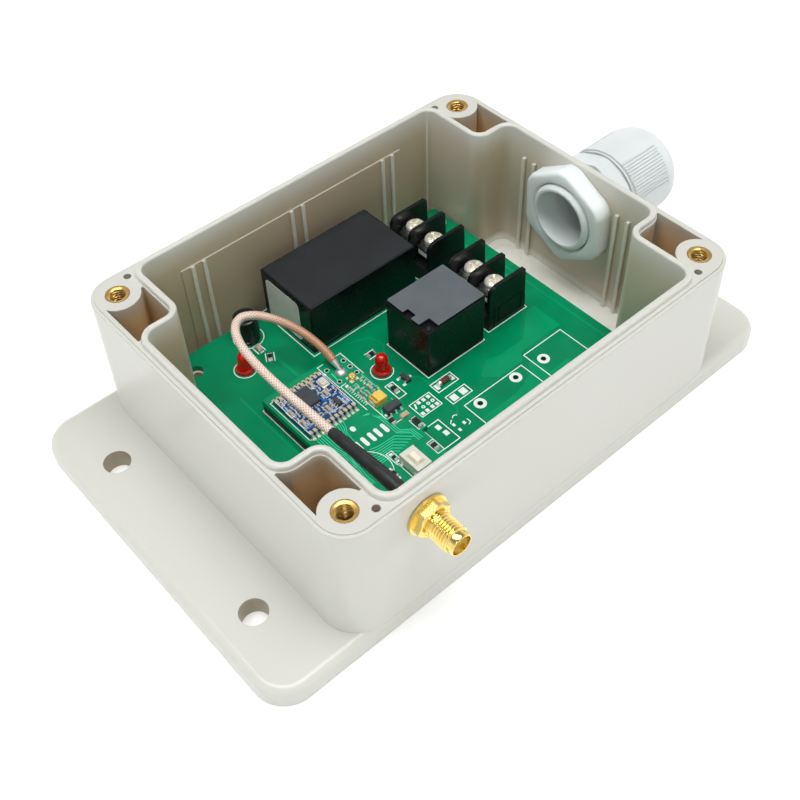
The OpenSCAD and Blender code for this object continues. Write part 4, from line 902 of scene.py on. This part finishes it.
def antenna_barrel():
    """Antenna socket turned from the inside flange to its open end, with a real thread."""
    mesh = bmesh.new()
    sides, pitch = 48, 0.706
    start, end = -50.4, -55.0
    steps = int((start - end) / pitch * 8)

    def ring(y, r, depth=0.0, corners=False):
        points = []
        for i, a in enumerate(around(sides)):
            here = r - depth * abs(2 * ((y / pitch + i / sides) % 1) - 1)
            if corners:
                here = r / max(math.cos(math.radians(360 * i / sides % 60 - 30)), 0.8)
            points.append((ANTENNA_X + here * math.cos(a), y, ANTENNA_Z + here * math.sin(a)))
        return points

    # Flange with its hexagon, plain neck, thread, and the bore from its mouth back to the insulator
    rings = [ring(-38.3, 1.45), ring(-38.5, 1.6), ring(-41.2, 1.6)]
    rings += [ring(y, r, corners=True) for y, r in ((-41.3, 3.9), (-41.45, 4.0), (-43.3, 4.0))]
    rings += [ring(-43.3, 3.15), ring(-49.6, 3.15), ring(-49.65, 2.8), ring(-50.35, 2.8)]
    rings += [ring(start + (end - start) * k / steps, 3.15,
                   0.42 * min(1, k / 6, (steps - k) / 6 + 0.2)) for k in range(steps + 1)]
    rings += [ring(y, r) for y, r in ((-55.15, 2.85), (-55.2, 2.7), (-56.6, 2.7), (-56.78, 2.55),
                                      (-56.78, 2.32), (-54.8, 2.3), (-54.78, 2.1), (-44.4, 2.1),
                                      (-44.38, 0.1))]
    loft(mesh, rings)
    new_piece("antenna_socket_barrel", mesh, [gold], sharp=40,
              replaces=("antenna_socket",))


COAX_ROUTE = [
    (-16.8, 9.8, 15.8), (-17, 12.5, 17.2), (-17.7, 16, 18.7), (-19, 19.7, 20.3), (-21, 23, 21.8),
    (-23.4, 25.8, 23.1), (-26, 27.6, 24.2), (-28.7, 28.2, 25), (-31.3, 27, 25.6),
    (-33.4, 24.3, 26.1), (-34.9, 20.6, 26.6), (-36, 16, 27.1), (-36.8, 10.5, 27.8),
    (-37.3, 4.5, 28.5), (-37.6, -2, 29.2), (-37.7, -8.5, 29.8), (-37.8, -13.5, 30.2),
    (-37.8, -17.3, 30.5)]
SLEEVE_ROUTE = [(-37.8, -17.3, 30.5), (-37.8, -22, 30.9), (-37.8, -27, 31.3), (-37.8, -32, 31.7),
                (-37.8, -35.2, 31.9), (-37.8, -38.25, 31.9), (-37.8, -41.2, 31.9)]


def coax_braid():
    """Sixteen flat carriers woven over and under each other round a darker core, painted as the
    shadow in the gaps.
    """
    mesh = bmesh.new()
    step, carriers, lay = 0.28, 8, 8.0
    core, radius, weave, half_wide = 0.95, 1.01, 0.03, 0.2
    frames = frames_along(eased_path(COAX_ROUTE, step))
    tube(mesh, frames, [core] * len(frames), 20, 1)
    for direction in (-1, 1):
        for carrier in range(carriers):
            rings = []
            for i, (here, side, up, ahead) in enumerate(frames):
                gone = i * step / lay
                a = 2 * math.pi * (carrier / carriers + direction * gone)
                out = side * math.cos(a) + up * math.sin(a)
                round_way = up * math.cos(a) - side * math.sin(a)
                along = (ahead + round_way * (direction * 2 * math.pi * 1.02 / lay)).normalized()
                across = along.cross(out).normalized() * half_wide
                middle = here + out * (radius + weave * direction
                                       * math.cos(2 * math.pi * carriers * gone))
                rings.append([middle - across - out * 0.02, middle - out * 0.05,
                              middle + across - out * 0.02, middle + out * 0.06])
            loft(mesh, rings)
    new_piece("coax_braided_lead", mesh, [braid, braid_gap_shadow], sharp=60,
              replaces=("coax_pigtail",))


def shrink_sleeve():
    """Sleeve that grows from the braid to the socket, with a rounded mouth and shallow ripples."""
    mesh = bmesh.new()
    frames = frames_along(eased_path(SLEEVE_ROUTE, 0.5))
    last = len(frames) - 1
    radii = []
    for i in range(last + 1):
        r = 1.3 + 0.44 * min(1, 1.2 * i / last)
        for ripple in (0.9, 2.3):
            r += 0.015 * math.sin(i * ripple)
        radii.append(min(r, 1.15 + 0.1 * i))
    tube(mesh, frames, radii, 40)
    new_piece("heat_shrunk_sleeve", mesh, [shrink], sharp=60,
              replaces=("heat_shrink_sleeve",))


def locknut():
    """Nut inside the wall, with the soft edges of a moulded part."""
    mesh = bmesh.new()
    half_flats, half_corners, sides = 12.25, 13.4, 96

    def ring(x, ease=0.0, bore=None):
        points = []
        for a in around(sides):
            off = math.radians(abs((math.degrees(a) - 3) % 60 - 30))
            corner = half_corners - 0.25 * (off - math.radians(30)) ** 2
            r = bore or min(half_flats / math.cos(off), corner) + ease
            points.append((x, r * math.sin(a), GLAND_Z + r * math.cos(a)))
        return points

    rings = [ring(x, ease) for x, ease in ((55.5, -0.35), (55.2, 0.0), (51.5, 0.0), (51.1, -0.12),
                                           (50.8, -0.35), (50.58, -0.7), (50.5, -1.15))]
    rings += [ring(x, bore=r) for x, r in ((50.5, 10.15), (50.6, 9.9), (51.25, 9.3), (55.5, 9.3))]
    loft(mesh, rings, closed=True)
    new_piece("gland_locknut_soft", mesh, [nylon], sharp=50,
              replaces=("gland_locknut",))


def solder_joint():
    """Tinned tip of the lead laid down into its mound of solder."""
    mesh = bmesh.new()
    x, y, z = JOINT_X, JOINT_Y, RADIO_TOP
    turned(mesh, x, y, z, [(1.45, 0), (1.4, 0.12), (1.15, 0.4), (0.8, 0.62), (0.4, 0.74),
                           (0.0, 0.77)])
    start, end = Vector((x, y, z + 0.45)), Vector(COAX_ROUTE[0]) + Vector((0.01, -0.08, -0.04))
    path = [start.lerp(end, k / 8) for k in range(9)]
    tube(mesh, frames_along(path), [0.45, 0.5, 0.56, 0.62, 0.7, 0.76, 0.82, 0.88, 0.95], 20)
    new_piece("pigtail_solder_joint", mesh, [tin], sharp=60,
              replaces=("coax_solder",))


def radio_board_copper():
    mesh = bmesh.new()
    low, high = RADIO_TOP, RADIO_TOP + COPPER
    # Fine tracks fan out below the test pads, and run beside them to the switch end
    for k in range(8):
        stroke(mesh, [(-27 - 0.51 * k, -15.7 - 0.6 * k), (-25.1 - 0.41 * k, -16.3 - 0.59 * k),
                      (-20.3 - 0.69 * k, -16.5 - 0.56 * k), (-17.1 - 1.04 * k, -19.6 - 0.2 * k)],
               0.2, low, high)
    for k in range(3):
        stroke(mesh, [(-21.8 + 0.6 * k, -7.1 - 0.2 * k), (-20.4 + 0.5 * k, -7.3 - 0.9 * k),
                      (-19.4 + 0.52 * k, -10.2 - 0.5 * k), (-19.3 + 0.55 * k, -16.2 + 0.1 * k),
                      (-16.9 + 0.5 * k, -18.4 + 0.3 * k), (-16.9 + 0.55 * k, -21.1)],
               0.2, low, high)
    for k in range(5):
        stroke(mesh, [(-26.1 - 0.6 * k, -4.9), (-26.8 - 0.6 * k, -6.9 - 0.2 * k),
                      (-27.7 - 0.55 * k, -8.5 - 0.2 * k), (-28.1 - 0.5 * k, -11.6)],
               0.17, low, high)
    for k in range(4):
        stroke(mesh, [(-32 - 0.5 * k, -15.1), (-32 - 0.5 * k, -18.2), (-32.3 - 0.5 * k, -20.9),
                      (-32.2 - 0.5 * k, -23.6)], 0.18, low, high)
    for k in range(6):
        d = 0.6 * k
        stroke(mesh, [(-34.2 + d, -5.2), (-34.2 + d, -9.4 - d * 0.3),
                      (-33.0 + d * 0.8, -13.0 - d * 0.3), (-33.0 + d * 0.6, -17.5)], 0.2, low, high)
    for points in ([(-17.2, 1.8), (-17.2, 0.4), (-16.3, -0.8), (-16.2, -3.6)],
                   [(-13.6, 3.2), (-13.6, -6.2)], [(-18.8, 8.2), (-19, 5.6)],
                   [(-13.4, -7.4), (-13.4, -11.9)], [(-17.4, -8.6), (-18.9, -11)]):
        stroke(mesh, points, 0.3, low, high)
    new_piece("radio_board_tracks", mesh, [radio_copper])


def radio_board_ink():
    mesh = bmesh.new()
    low, high = RADIO_TOP, RADIO_TOP + COPPER + INK
    line = 0.16
    # Outline round the aerial end, open where the lead comes down, then the lines along the board
    for points in ([(-18.4, 11.9), (-20.2, 11.9), (-20.2, 3.4), (-18.2, 3.4)],
                   [(-14.9, 11.9), (-13, 11.9), (-13, 3.0)],
                   [(-18.4, -3.9), (-18.4, -13.9), (-14.6, -13.9)],
                   arc(-31.6, -20.4, 5.9, -50, 60, 24), [(-19.9, 3.2), (-19.9, -6.4)],
                   [(-20.0, 10.6), (-35.4, 10.6), (-35.4, -4.3), (-34.6, -4.9)],
                   [(-36.0, -7.5), (-36.0, -31.9), (-27, -31.9)]):
        stroke(mesh, points, line, low, high)
    for box in ((-25.3, -23.2, -23.7, -19.3), (-16.4, -27.0, -14.5, -23.1),
                (-25.0, -29.8, -19.8, -22.4), (-14.9, -18.9, -13.0, -15.5)):
        box_line(mesh, *box, line, low, high)
    # Ticks between the pads by the module, as the real one marks its rows
    for k in range(11):
        y = -4.9 + 0.72 * k
        stroke(mesh, [(-19.2, y), (-18.5, y)], 0.14, low, high)
        x, y = -15.3 + 0.3 * (k % 2), 1.6 - 0.62 * k
        stroke(mesh, [(x, y), (x + 0.7, y)], line, low, high)
    new_piece("radio_board_ink", mesh, [ink])


def radio_board_pads():
    mesh = bmesh.new()
    low, high = RADIO_TOP, RADIO_TOP + COPPER + TINNING
    # Long test ovals, the lone oval and pads beside the module
    for x in (-30.2, -28.27, -26.32, -24.28, -22.45, -20.39):
        slab(mesh, rounded(x, -13.2, 1.0, 3.0, 0.48, steps=5), low, high)
    slab(mesh, rounded(-26, -8.5, 1.2, 1.6, 0.58, steps=6), low, high)
    for x, y, length, width in ((-18.6, 2.6, 0.8, 0.6), (-16.7, -4, 0.6, 0.8),
                                (-24.5, -20.1, 0.9, 0.8), (-24.5, -22.3, 0.9, 0.8),
                                (-27.6, -23.2, 1.2, 0.9), (-27.6, -26.1, 1.2, 0.9),
                                (-20.2, 9.0, 0.5, 0.8), (-17.6, -10.6, 0.8, 0.7)):
        slab(mesh, rounded(x, y, length, width, 0.08), low, high)
    for x, y in ((-19, 9.7), (-19, 4.9), (-14, 9.5), (-14, 6.96), (-14, 4.42)):
        annulus(mesh, x, y, 0.5, 0.62, low, high, 20)
    new_piece("radio_board_pads", mesh, [tin_painted_white])


def module_pads():
    """Half-hole pads along both edges of the radio module, soldered down to the board."""
    mesh = bmesh.new()
    for side in (-1, 1):
        for k in range(-5, 6):
            x = MODULE_X + k * PAD_PITCH
            edge = MODULE_Y + side * MODULE_HALF
            outer = [(x - 0.42, edge), (x - 0.42, edge - side * 0.95), (x - 0.3, edge - side * 1.1),
                     (x + 0.3, edge - side * 1.1), (x + 0.42, edge - side * 0.95), (x + 0.42, edge),
                     (x + 0.3, edge), (x + 0.21, edge - side * 0.21), (x, edge - side * 0.3),
                     (x - 0.21, edge - side * 0.21), (x - 0.3, edge)]
            slab(mesh, outer, MODULE_TOP, MODULE_TOP + 0.06)
            slab(mesh, rounded(x, edge + side * 0.55, 0.82, 1.3, 0.12), RADIO_TOP, RADIO_TOP + 0.06)
            # Fillet of solder that fills the half hole and spreads on the pad
            rings = []
            for reach, wide, z in ((0.95, 0.74, 0.05), (0.6, 0.66, 0.26), (0.3, 0.55, 0.6),
                                   (0.04, 0.42, 1.0)):
                centre = edge + side * (reach - 0.27) / 2
                rings.append(at(rounded(x, centre, wide, reach + 0.27, 0.12), RADIO_TOP + z))
            loft(mesh, rings, 1)
    new_piece("radio_module_pads", mesh, [pad_gold, tin])


def module_copper_and_ink():
    mesh = bmesh.new()
    low, high = MODULE_TOP, MODULE_TOP + COPPER
    for plan in ([(4.6, -2.0), (6.8, -2.0), (6.8, -5.6), (5.2, -5.6), (5.2, -3.4), (4.6, -3.4)],
                 [(1.7, -1.5), (3.0, -1.5), (3.0, 0.2), (1.7, 0.2)],
                 [(-6.7, -5.4), (-3.8, -5.4), (-3.8, -4.9), (-6.7, -4.9)],
                 [(-6.7, 2.2), (-5.0, 2.2), (-5.0, 3.4), (-6.7, 3.4)]):
        slab(mesh, [(MODULE_X + x, MODULE_Y + y) for x, y in plan], low, high)
    top = high + INK
    for x, y, length, width in ((-6.2, 4.8, 0.9, 1.6), (-5.2, 5.2, 0.9, 1.5), (-6.3, 1, 1.3, 2.2),
                                (-5.9, -3.2, 1.3, 2.2), (2.6, 4.8, 1.3, 2.2), (3.6, 0.4, 1.3, 2.2),
                                (1, -3.7, 1.3, 2.2), (3.9, -3.6, 2.5, 2.9), (5.9, -4.2, 0.9, 1.6)):
        outline = rounded(MODULE_X + x, MODULE_Y + y, length, width)
        stroke(mesh, [outline[i] for i in (0, 4, 8, 12)], 0.12, low, top, closed=True, index=1)
    for x, y, length in ((-1.4, 5.6, 0.5), (-0.2, 5.6, 0.5), (5.9, 1.3, 0.6), (1.4, -5.4, 0.6),
                         (-4.5, -5.6, 0.6), (2.2, 1.9, 0.5), (5.4, -0.6, 0.6)):
        stroke(mesh, [(MODULE_X + x, MODULE_Y + y), (MODULE_X + x + length, MODULE_Y + y)], 0.16,
               low, top, index=1)
    for x in (MODULE_X - 6.75, MODULE_X + 6.75):
        stroke(mesh, [(x, MODULE_Y - 6.7), (x, MODULE_Y + 6.7)], 0.14, low, top, index=1)
    # Plated through holes
    for x, y in ((-5.2, -0.9), (6.2, -0.2), (1.8, 1.4), (-3.4, -3.2), (5.2, -5.2), (4.5, 1.9),
                 (0.1, -1.2), (-4.9, 3.7), (-1.6, -5.3), (0.6, 5.5), (2.4, -5.0), (6.3, -2.9),
                 (-4.3, -0.9), (3.1, -1.6)):
        annulus(mesh, MODULE_X + x, MODULE_Y + y, 0.11, 0.27, low, top, 14, 2)
    new_piece("radio_module_face", mesh, [blue_copper, ink, pad_gold])


def module_small_parts():
    mesh = bmesh.new()
    shades = {0.5: 2, 0.8: 0}
    for x, y, length, width, height, angle in (
            (-6.2, 4.8, 1, 0.5, 0.5, 90), (-5.2, 5.2, 1, 0.5, 0.5, 90),
            (-6.3, 1, 1.6, 0.8, 0.8, 90), (-6.2, -1.1, 1, 0.5, 0.5, 90),
            (-5.9, -3.2, 1.6, 0.8, 0.8, 90), (-4.4, -2, 1, 0.5, 0.5, 0),
            (2.6, 4.8, 1.6, 0.8, 0.8, 90), (2.5, 2.7, 1, 0.5, 0.5, 90), (3.4, 3, 1, 0.5, 0.5, 90),
            (5.4, 0.4, 1, 0.5, 0.5, 0), (3.6, 0.4, 1.6, 0.8, 0.8, 90), (-0.8, -2, 1, 0.5, 0.5, 90),
            (-1.9, -2.9, 1, 0.5, 0.5, 90), (-0.6, -4.4, 1, 0.5, 0.5, 0),
            (1, -3.7, 1.6, 0.8, 0.8, 90), (2.1, -3.4, 1, 0.5, 0.5, 90),
            (5.9, -4.2, 1, 0.5, 0.5, 90), (-2.8, -4.4, 1, 0.5, 0.5, 0)):
        chip(mesh, MODULE_X + x, MODULE_Y + y, MODULE_TOP, length, width, height, angle,
             shades[height])
    # The smallest parts, too small to be solids of their own
    for x, y, angle, index in (
            (-6.2, 3.0, 90, 2), (-6.3, -4.9, 0, 0), (-4.9, -3.6, 90, 2), (-4.6, -4.8, 0, 0),
            (-3.6, -3.0, 0, 2), (-3.7, -1.4, 0, 0), (-2.6, -2.5, 90, 0), (-1.3, -3.6, 0, 2),
            (0.2, -2.6, 90, 0), (0.3, -5.0, 90, 2), (1.5, -1.9, 0, 0), (2.4, 0.2, 90, 2),
            (2.4, 1.5, 0, 0), (3.5, 5.3, 0, 2), (1.4, 5.4, 90, 0), (5.0, -1.2, 0, 2),
            (6.2, -1.8, 90, 0), (4.6, 1.4, 90, 0), (6.1, 0.9, 90, 2), (-5.0, 1.2, 90, 0),
            (-5.1, 2.5, 90, 2), (-5.2, -0.2, 90, 0), (1.9, 3.9, 0, 2), (1.8, -5.1, 0, 0),
            (3.4, -5.6, 0, 2)):
        chip(mesh, MODULE_X + x, MODULE_Y + y, MODULE_TOP, 0.75, 0.42, 0.35, angle, index)
    # Switch chip with three leads a side
    x, y, z = MODULE_X + 3.9, MODULE_Y - 3.6, MODULE_TOP
    block(mesh, x, y, z + 0.05, 1.2, 2.4, 0.85, 0.08, 0, 3)
    for side in (-1, 1):
        for dy in (-0.8, 0, 0.8):
            block(mesh, x + side * 0.85, y + dy, z, 0.6, 0.34, 0.16, 0.03, 0, 1)
            block(mesh, x + side * 0.66, y + dy, z, 0.16, 0.34, 0.5, 0.03, 0, 1)
    new_piece("radio_module_small_parts", mesh, [ceramic_tan, tin, ceramic_dark, compound],
              replaces=("radio_module_chips",))


def radio_chip_details():
    """Chip with a pin-one dimple and the tinned ends of its contacts all round."""
    mesh = bmesh.new()
    cx, cy, z = MODULE_X - 1.4, MODULE_Y + 2.2, MODULE_TOP
    block(mesh, cx, cy, z, 5.7, 5.7, 0.9, 0.07, 0, 0)
    turned(mesh, cx - 2.2, cy - 2.2, z, [(0.3, 0.895), (0.3, 0.91), (0.2, 0.905), (0.0, 0.9)], 20,
           2)
    for side in (-1, 1):
        for k in range(7):
            t = (k - 3) * 0.7
            block(mesh, cx + side * 2.95, cy + t, z, 0.5, 0.3, 0.2, 0.04, 0, 1)
            block(mesh, cx + t, cy + side * 2.95, z, 0.3, 0.5, 0.2, 0.04, 0, 1)
    new_piece("radio_chip_package", mesh, [compound, tin, ceramic_dark],
              replaces=("radio_chip",))


def crystal_can():
    mesh = bmesh.new()
    cx, cy, z = MODULE_X + 5.2, MODULE_Y + 3.4, MODULE_TOP
    rings = []
    for length, width, r, h in ((2.2, 2.9, 0.2, 0.0), (2.2, 2.9, 0.2, 0.28), (1.85, 2.5, 0.4, 0.3),
                                (1.8, 2.45, 0.4, 0.8), (1.7, 2.35, 0.38, 0.88),
                                (1.55, 2.2, 0.34, 0.9)):
        rings.append(at(rounded(cx, cy, length, width, r, steps=5), z + h))
    loft(mesh, rings)
    new_piece("crystal_can", mesh, [nickel], replaces=("radio_crystal",))


def aerial_plug():
    """Small aerial socket: gold ring on a pale base with three gold feet."""
    mesh = bmesh.new()
    x, y, z = -16.15, 3.5, RADIO_TOP
    block(mesh, x, y, z, 2.4, 2.2, 0.36, 0.06, 0, 1)
    for dx, dy in ((-1.0, 0), (1.0, 0), (0, -0.95)):
        block(mesh, x + dx, y + dy, z, 0.5, 0.7, 0.4, 0.05, 0, 0)
    ring = ((1.05, 0.3), (1.05, 0.7), (0.98, 0.78), (1.05, 0.86), (1.05, 1.15), (1.0, 1.2),
            (0.8, 1.2), (0.75, 1.15), (0.75, 0.34))
    loft(mesh, [at(round_plan(x, y, r, 28), z + h) for r, h in ring], closed=True)
    turned(mesh, x, y, z, [(0.25, 0.3), (0.25, 1.0), (0.15, 1.1)], 16)
    new_piece("aerial_snap_socket", mesh, [gold, ptfe],
              replaces=("aerial_socket_small",))


def tantalum_part():
    mesh = bmesh.new()
    x, y, z = -16.2, -6, RADIO_TOP
    block(mesh, x, y, z + 0.02, 3.4, 2.9, 1.88, 0.16, 0, 0)
    stroke(mesh, [(x - 1.15, y - 1.28), (x - 1.15, y + 1.28)], 0.6, z + 1.89, z + 1.93, index=1)
    for side in (-1, 1):
        block(mesh, x + side * 1.8, y, z, 0.34, 2.2, 0.95, 0.06, 0, 2)
    new_piece("tantalum_block", mesh, [tantalum_yellow, tantalum_band, tin],
              replaces=("tantalum_capacitor",))


def regulator_part():
    mesh = bmesh.new()
    x, y, z = -15.4, -10.1, RADIO_TOP
    loft(mesh, [at(rounded(x, y, length, width, 0.08), z + height) for length, width, height in
                ((4.2, 2.2, 0.12), (4.25, 2.4, 0.8), (4.0, 2.05, 1.58))])
    for px, wide, side in ((-1.5, 0.44, -1), (0, 0.44, -1), (1.5, 0.44, -1), (0, 1.7, 1)):
        edge = y + side * 1.15
        block(mesh, x + px, edge + side * 0.12, z + 0.62, wide, 0.4, 0.16, 0.03, 0, 1)
        block(mesh, x + px, edge + side * 0.3, z + 0.06, wide, 0.16, 0.7, 0.03, 0, 1)
        block(mesh, x + px, edge + side * 0.42, z, wide, 0.5, 0.14, 0.03, 0, 1)
    new_piece("regulator_package", mesh, [compound, tin],
              replaces=("voltage_regulator",))


def radio_board_small_parts():
    mesh = bmesh.new()
    for x, y, length, width, height, angle, index in (
            (-14.6, -13.6, 2, 1.3, 0.8, 0, 0), (-14, -17.2, 2.9, 1.3, 1, 90, 2),
            (-15.6, -24.8, 2, 1.3, 0.55, 90, 2), (-17.9, -12.8, 2, 1.2, 0.55, 90, 2),
            (-27.6, -24.6, 2, 1.2, 0.55, 90, 2), (-18.6, 1.2, 1, 0.6, 0.5, 90, 0),
            (-17.8, -1.2, 1, 0.6, 0.5, 0, 2), (-15, -1.6, 1.6, 0.8, 0.8, 90, 0),
            (-18.3, -3.4, 1, 0.6, 0.5, 90, 0), (-24.5, -21.2, 1.6, 0.8, 0.45, 90, 2)):
        chip(mesh, x, y, RADIO_TOP, length, width, height, angle, index)
    # The smallest parts beside the aerial socket, too small to be solids of their own
    for x, y, angle, index in (
            (-14.3, 2.1, 0, 0), (-14.2, 0.9, 0, 2), (-13.9, -0.4, 90, 0), (-16.7, 1.1, 90, 2),
            (-17.6, 0.4, 0, 0), (-16.4, -0.6, 0, 0), (-17.1, -2.3, 90, 2), (-16.2, -2.2, 90, 0),
            (-13.6, -2.6, 90, 2), (-18.4, -2.2, 90, 0)):
        chip(mesh, x, y, RADIO_TOP, 0.85, 0.48, 0.35, angle, index)
    new_piece("radio_board_small_parts", mesh, [ceramic_tan, tin, ceramic_dark],
              replaces=("radio_board_chips",))


def switch_feet():
    """Metal legs of the learn switch, bent out onto the board."""
    mesh = bmesh.new()
    for side in (-1, 1):
        for y in (SWITCH_Y - 2.2, SWITCH_Y + 2.2):
            block(mesh, SWITCH_X + side * 2.35, y, RADIO_TOP, 0.9, 0.7, 0.16, 0.04)
            block(mesh, SWITCH_X + side * 2.09, y, RADIO_TOP, 0.14, 0.7, 1.1, 0.03)
    new_piece("learn_switch_legs", mesh, [tin])


def floor_marks():
    """Faint ring and gate line that the mould leaves on the floor of the box."""
    mesh = bmesh.new()
    stroke(mesh, arc(50.3, 17.6, 4.4, -75, 110, 30), 0.3, 2.98, 3.05)
    for x, y in ((49.5, -22), (49.7, -8), (49.9, 6)):
        annulus(mesh, x, y, 1.9, 2.05, 2.98, 3.03, 32)
    new_piece("floor_mould_marks", mesh, [abs_plastic])


PIECES = [
    copper_on_main_board, ink_on_main_board, pads_on_main_board, small_parts_on_main_board,
    transistor_on_main_board, power_block_label, power_block_top, relay_details, clamp_plates,
    contact_plates, terminal_block_panels, smoothing_can, insert_threads, antenna_barrel,
    coax_braid, shrink_sleeve, button_cap, board_screw_heads, locknut, solder_joint,
    radio_board_copper, radio_board_ink, radio_board_pads, module_pads, module_copper_and_ink,
    module_small_parts, radio_chip_details, crystal_can, aerial_plug, tantalum_part, regulator_part,
    radio_board_small_parts, switch_feet, floor_marks]
for make in PIECES:
    make()
for node in POLES:
    terminal_screw(node)
for node, (x, y) in LAMPS.items():
    lamp(node, x, y)

# Finishes of the solids that show as they are
CARRIED = [
    (abs_plastic, ["enclosure_base"]), (board_mask, ["main_board"]),
    (radio_mask, ["radio_board"]),
    (blue_mask, ["radio_module"]), (block_black, ["power_module", "relay_case"]),
    (tin, ["power_module_pins", "relay_pins"]), (switch_white, ["learn_switch"]),
    (black_nylon, ["supply_terminal_block", "load_terminal_block", "header_strips"]),
    (gold, ["header_pins", "antenna_contact", "antenna_washer", "antenna_nut"]),
    (ptfe, ["antenna_insulator"]), (rubber, ["gland_seal"]),
    (nylon, ["gland_gasket", "gland_body", "gland_cap"])]
for material, names in CARRIED:
    for name in names:
        data = nodes[name].data
        data.materials.clear()
        data.materials.append(material)

# Studio


def sees_sweep(tree):
    """1 for rays from the camera, off glossy surfaces and through clear ones."""
    path = add(tree, "ShaderNodeLightPath")
    two = add(tree, "ShaderNodeMath", None,
              {0: path.outputs["Is Camera Ray"], 1: path.outputs["Is Glossy Ray"]},
              operation="MAXIMUM")
    return add(tree, "ShaderNodeMath", None,
               {0: two.outputs[0], 1: path.outputs["Is Transmission Ray"]},
               operation="MAXIMUM").outputs[0]


def studio():
    scene = bpy.context.scene
    scene.view_settings.view_transform = "Standard"

    # Floor: matt white sheet; what the camera sees of it is lifted to the white of the backdrop
    mesh = bmesh.new()
    reach = 1500
    corners = [mesh.verts.new((sx * reach, sy * reach, -0.02))
               for sx, sy in ((-1, -1), (1, -1), (1, 1), (-1, 1))]
    mesh.faces.new(corners)
    data = bpy.data.meshes.new("studio_floor")
    mesh.to_mesh(data)
    mesh.free()
    data.transform(Matrix.Scale(MM, 4))
    floor = bpy.data.objects.new("studio_floor", data)
    scene.collection.objects.link(floor)
    paper = bpy.data.materials.new("white_paper_sweep")
    paper.use_nodes = True
    tree = paper.node_tree
    tree.nodes.clear()
    matt = add(tree, "ShaderNodeBsdfDiffuse", {"Color": linear("#f4f4f4")})
    glow = add(tree, "ShaderNodeEmission", {"Color": (1, 1, 1, 1), "Strength": 0.2})
    both = add(tree, "ShaderNodeAddShader", None, {0: matt.outputs[0], 1: glow.outputs[0]})
    # Beyond the part's shadow the sheet runs up into the white of the backdrop
    spot = add(tree, "ShaderNodeTexCoord").outputs["Object"]
    away = add(tree, "ShaderNodeVectorMath", None, {0: spot}, operation="LENGTH")
    far = add(tree, "ShaderNodeMapRange", {"From Min": 0.14, "From Max": 0.3},
              {"Value": away.outputs["Value"]})
    backdrop = add(tree, "ShaderNodeEmission", {"Color": (1, 1, 1, 1), "Strength": 1.0})
    sheet = add(tree, "ShaderNodeMixShader", None,
                {0: far.outputs["Result"], 1: both.outputs[0], 2: backdrop.outputs[0]})
    choose = add(tree, "ShaderNodeMixShader", None,
                 {0: sees_sweep(tree), 1: matt.outputs[0], 2: sheet.outputs[0]})
    add(tree, "ShaderNodeOutputMaterial", None, {0: choose.outputs[0]})
    data.materials.append(paper)

    # World: a light tent, bright round the horizon and dim overhead. Camera, metal and clear
    # parts see the white sweep, which also ends overhead
    world = bpy.data.worlds.new("studio_world")
    scene.world = world
    world.use_nodes = True
    tree = world.node_tree
    tree.nodes.clear()
    direction = add(tree, "ShaderNodeTexCoord")
    parts = add(tree, "ShaderNodeSeparateXYZ", None, {0: direction.outputs["Generated"]})
    tent_level = add(tree, "ShaderNodeMapRange",
                     {"From Min": 0.05, "From Max": 0.3, "To Min": 3.3, "To Max": 0.1},
                     {"Value": parts.outputs["Z"]}, interpolation_type="SMOOTHSTEP")
    sweep_level = add(tree, "ShaderNodeMapRange",
                      {"From Min": 0.3, "From Max": 0.7, "To Min": 1.0, "To Max": 0.3},
                      {"Value": parts.outputs["Z"]}, interpolation_type="SMOOTHSTEP")
    tent = add(tree, "ShaderNodeBackground", {"Color": linear("#fafbfc")},
               {"Strength": tent_level.outputs["Result"]})
    sweep = add(tree, "ShaderNodeBackground", {"Color": (1, 1, 1, 1)},
                {"Strength": sweep_level.outputs["Result"]})
    choose = add(tree, "ShaderNodeMixShader", None,
                 {0: sees_sweep(tree), 1: tent.outputs[0], 2: sweep.outputs[0]})
    add(tree, "ShaderNodeOutputWorld", None, {0: choose.outputs[0]})

    # Softboxes high on the camera's side, where no flat top mirrors them into the picture
    for name, place, length, width, power in (("key_softbox", (-0.02, -0.02, 0.95), 1.0, 0.5, 10.2),
                                              ("small_softbox", (-0.5, -0.5, 0.7), 0.2, 0.2, 0.8)):
        light = bpy.data.lights.new(name, "AREA")
        light.shape = "RECTANGLE"
        light.size, light.size_y = length, width
        light.energy = power
        light.color = linear("#fdfdfe")[:3]
        box = bpy.data.objects.new(name, light)
        scene.collection.objects.link(box)
        aim = (Vector((0, 0, 0.015)) - Vector(place)).normalized()
        turn = aim.to_track_quat("-Z", "Y").to_matrix().to_4x4()
        box.matrix_world = Matrix.Translation(place) @ turn


studio()
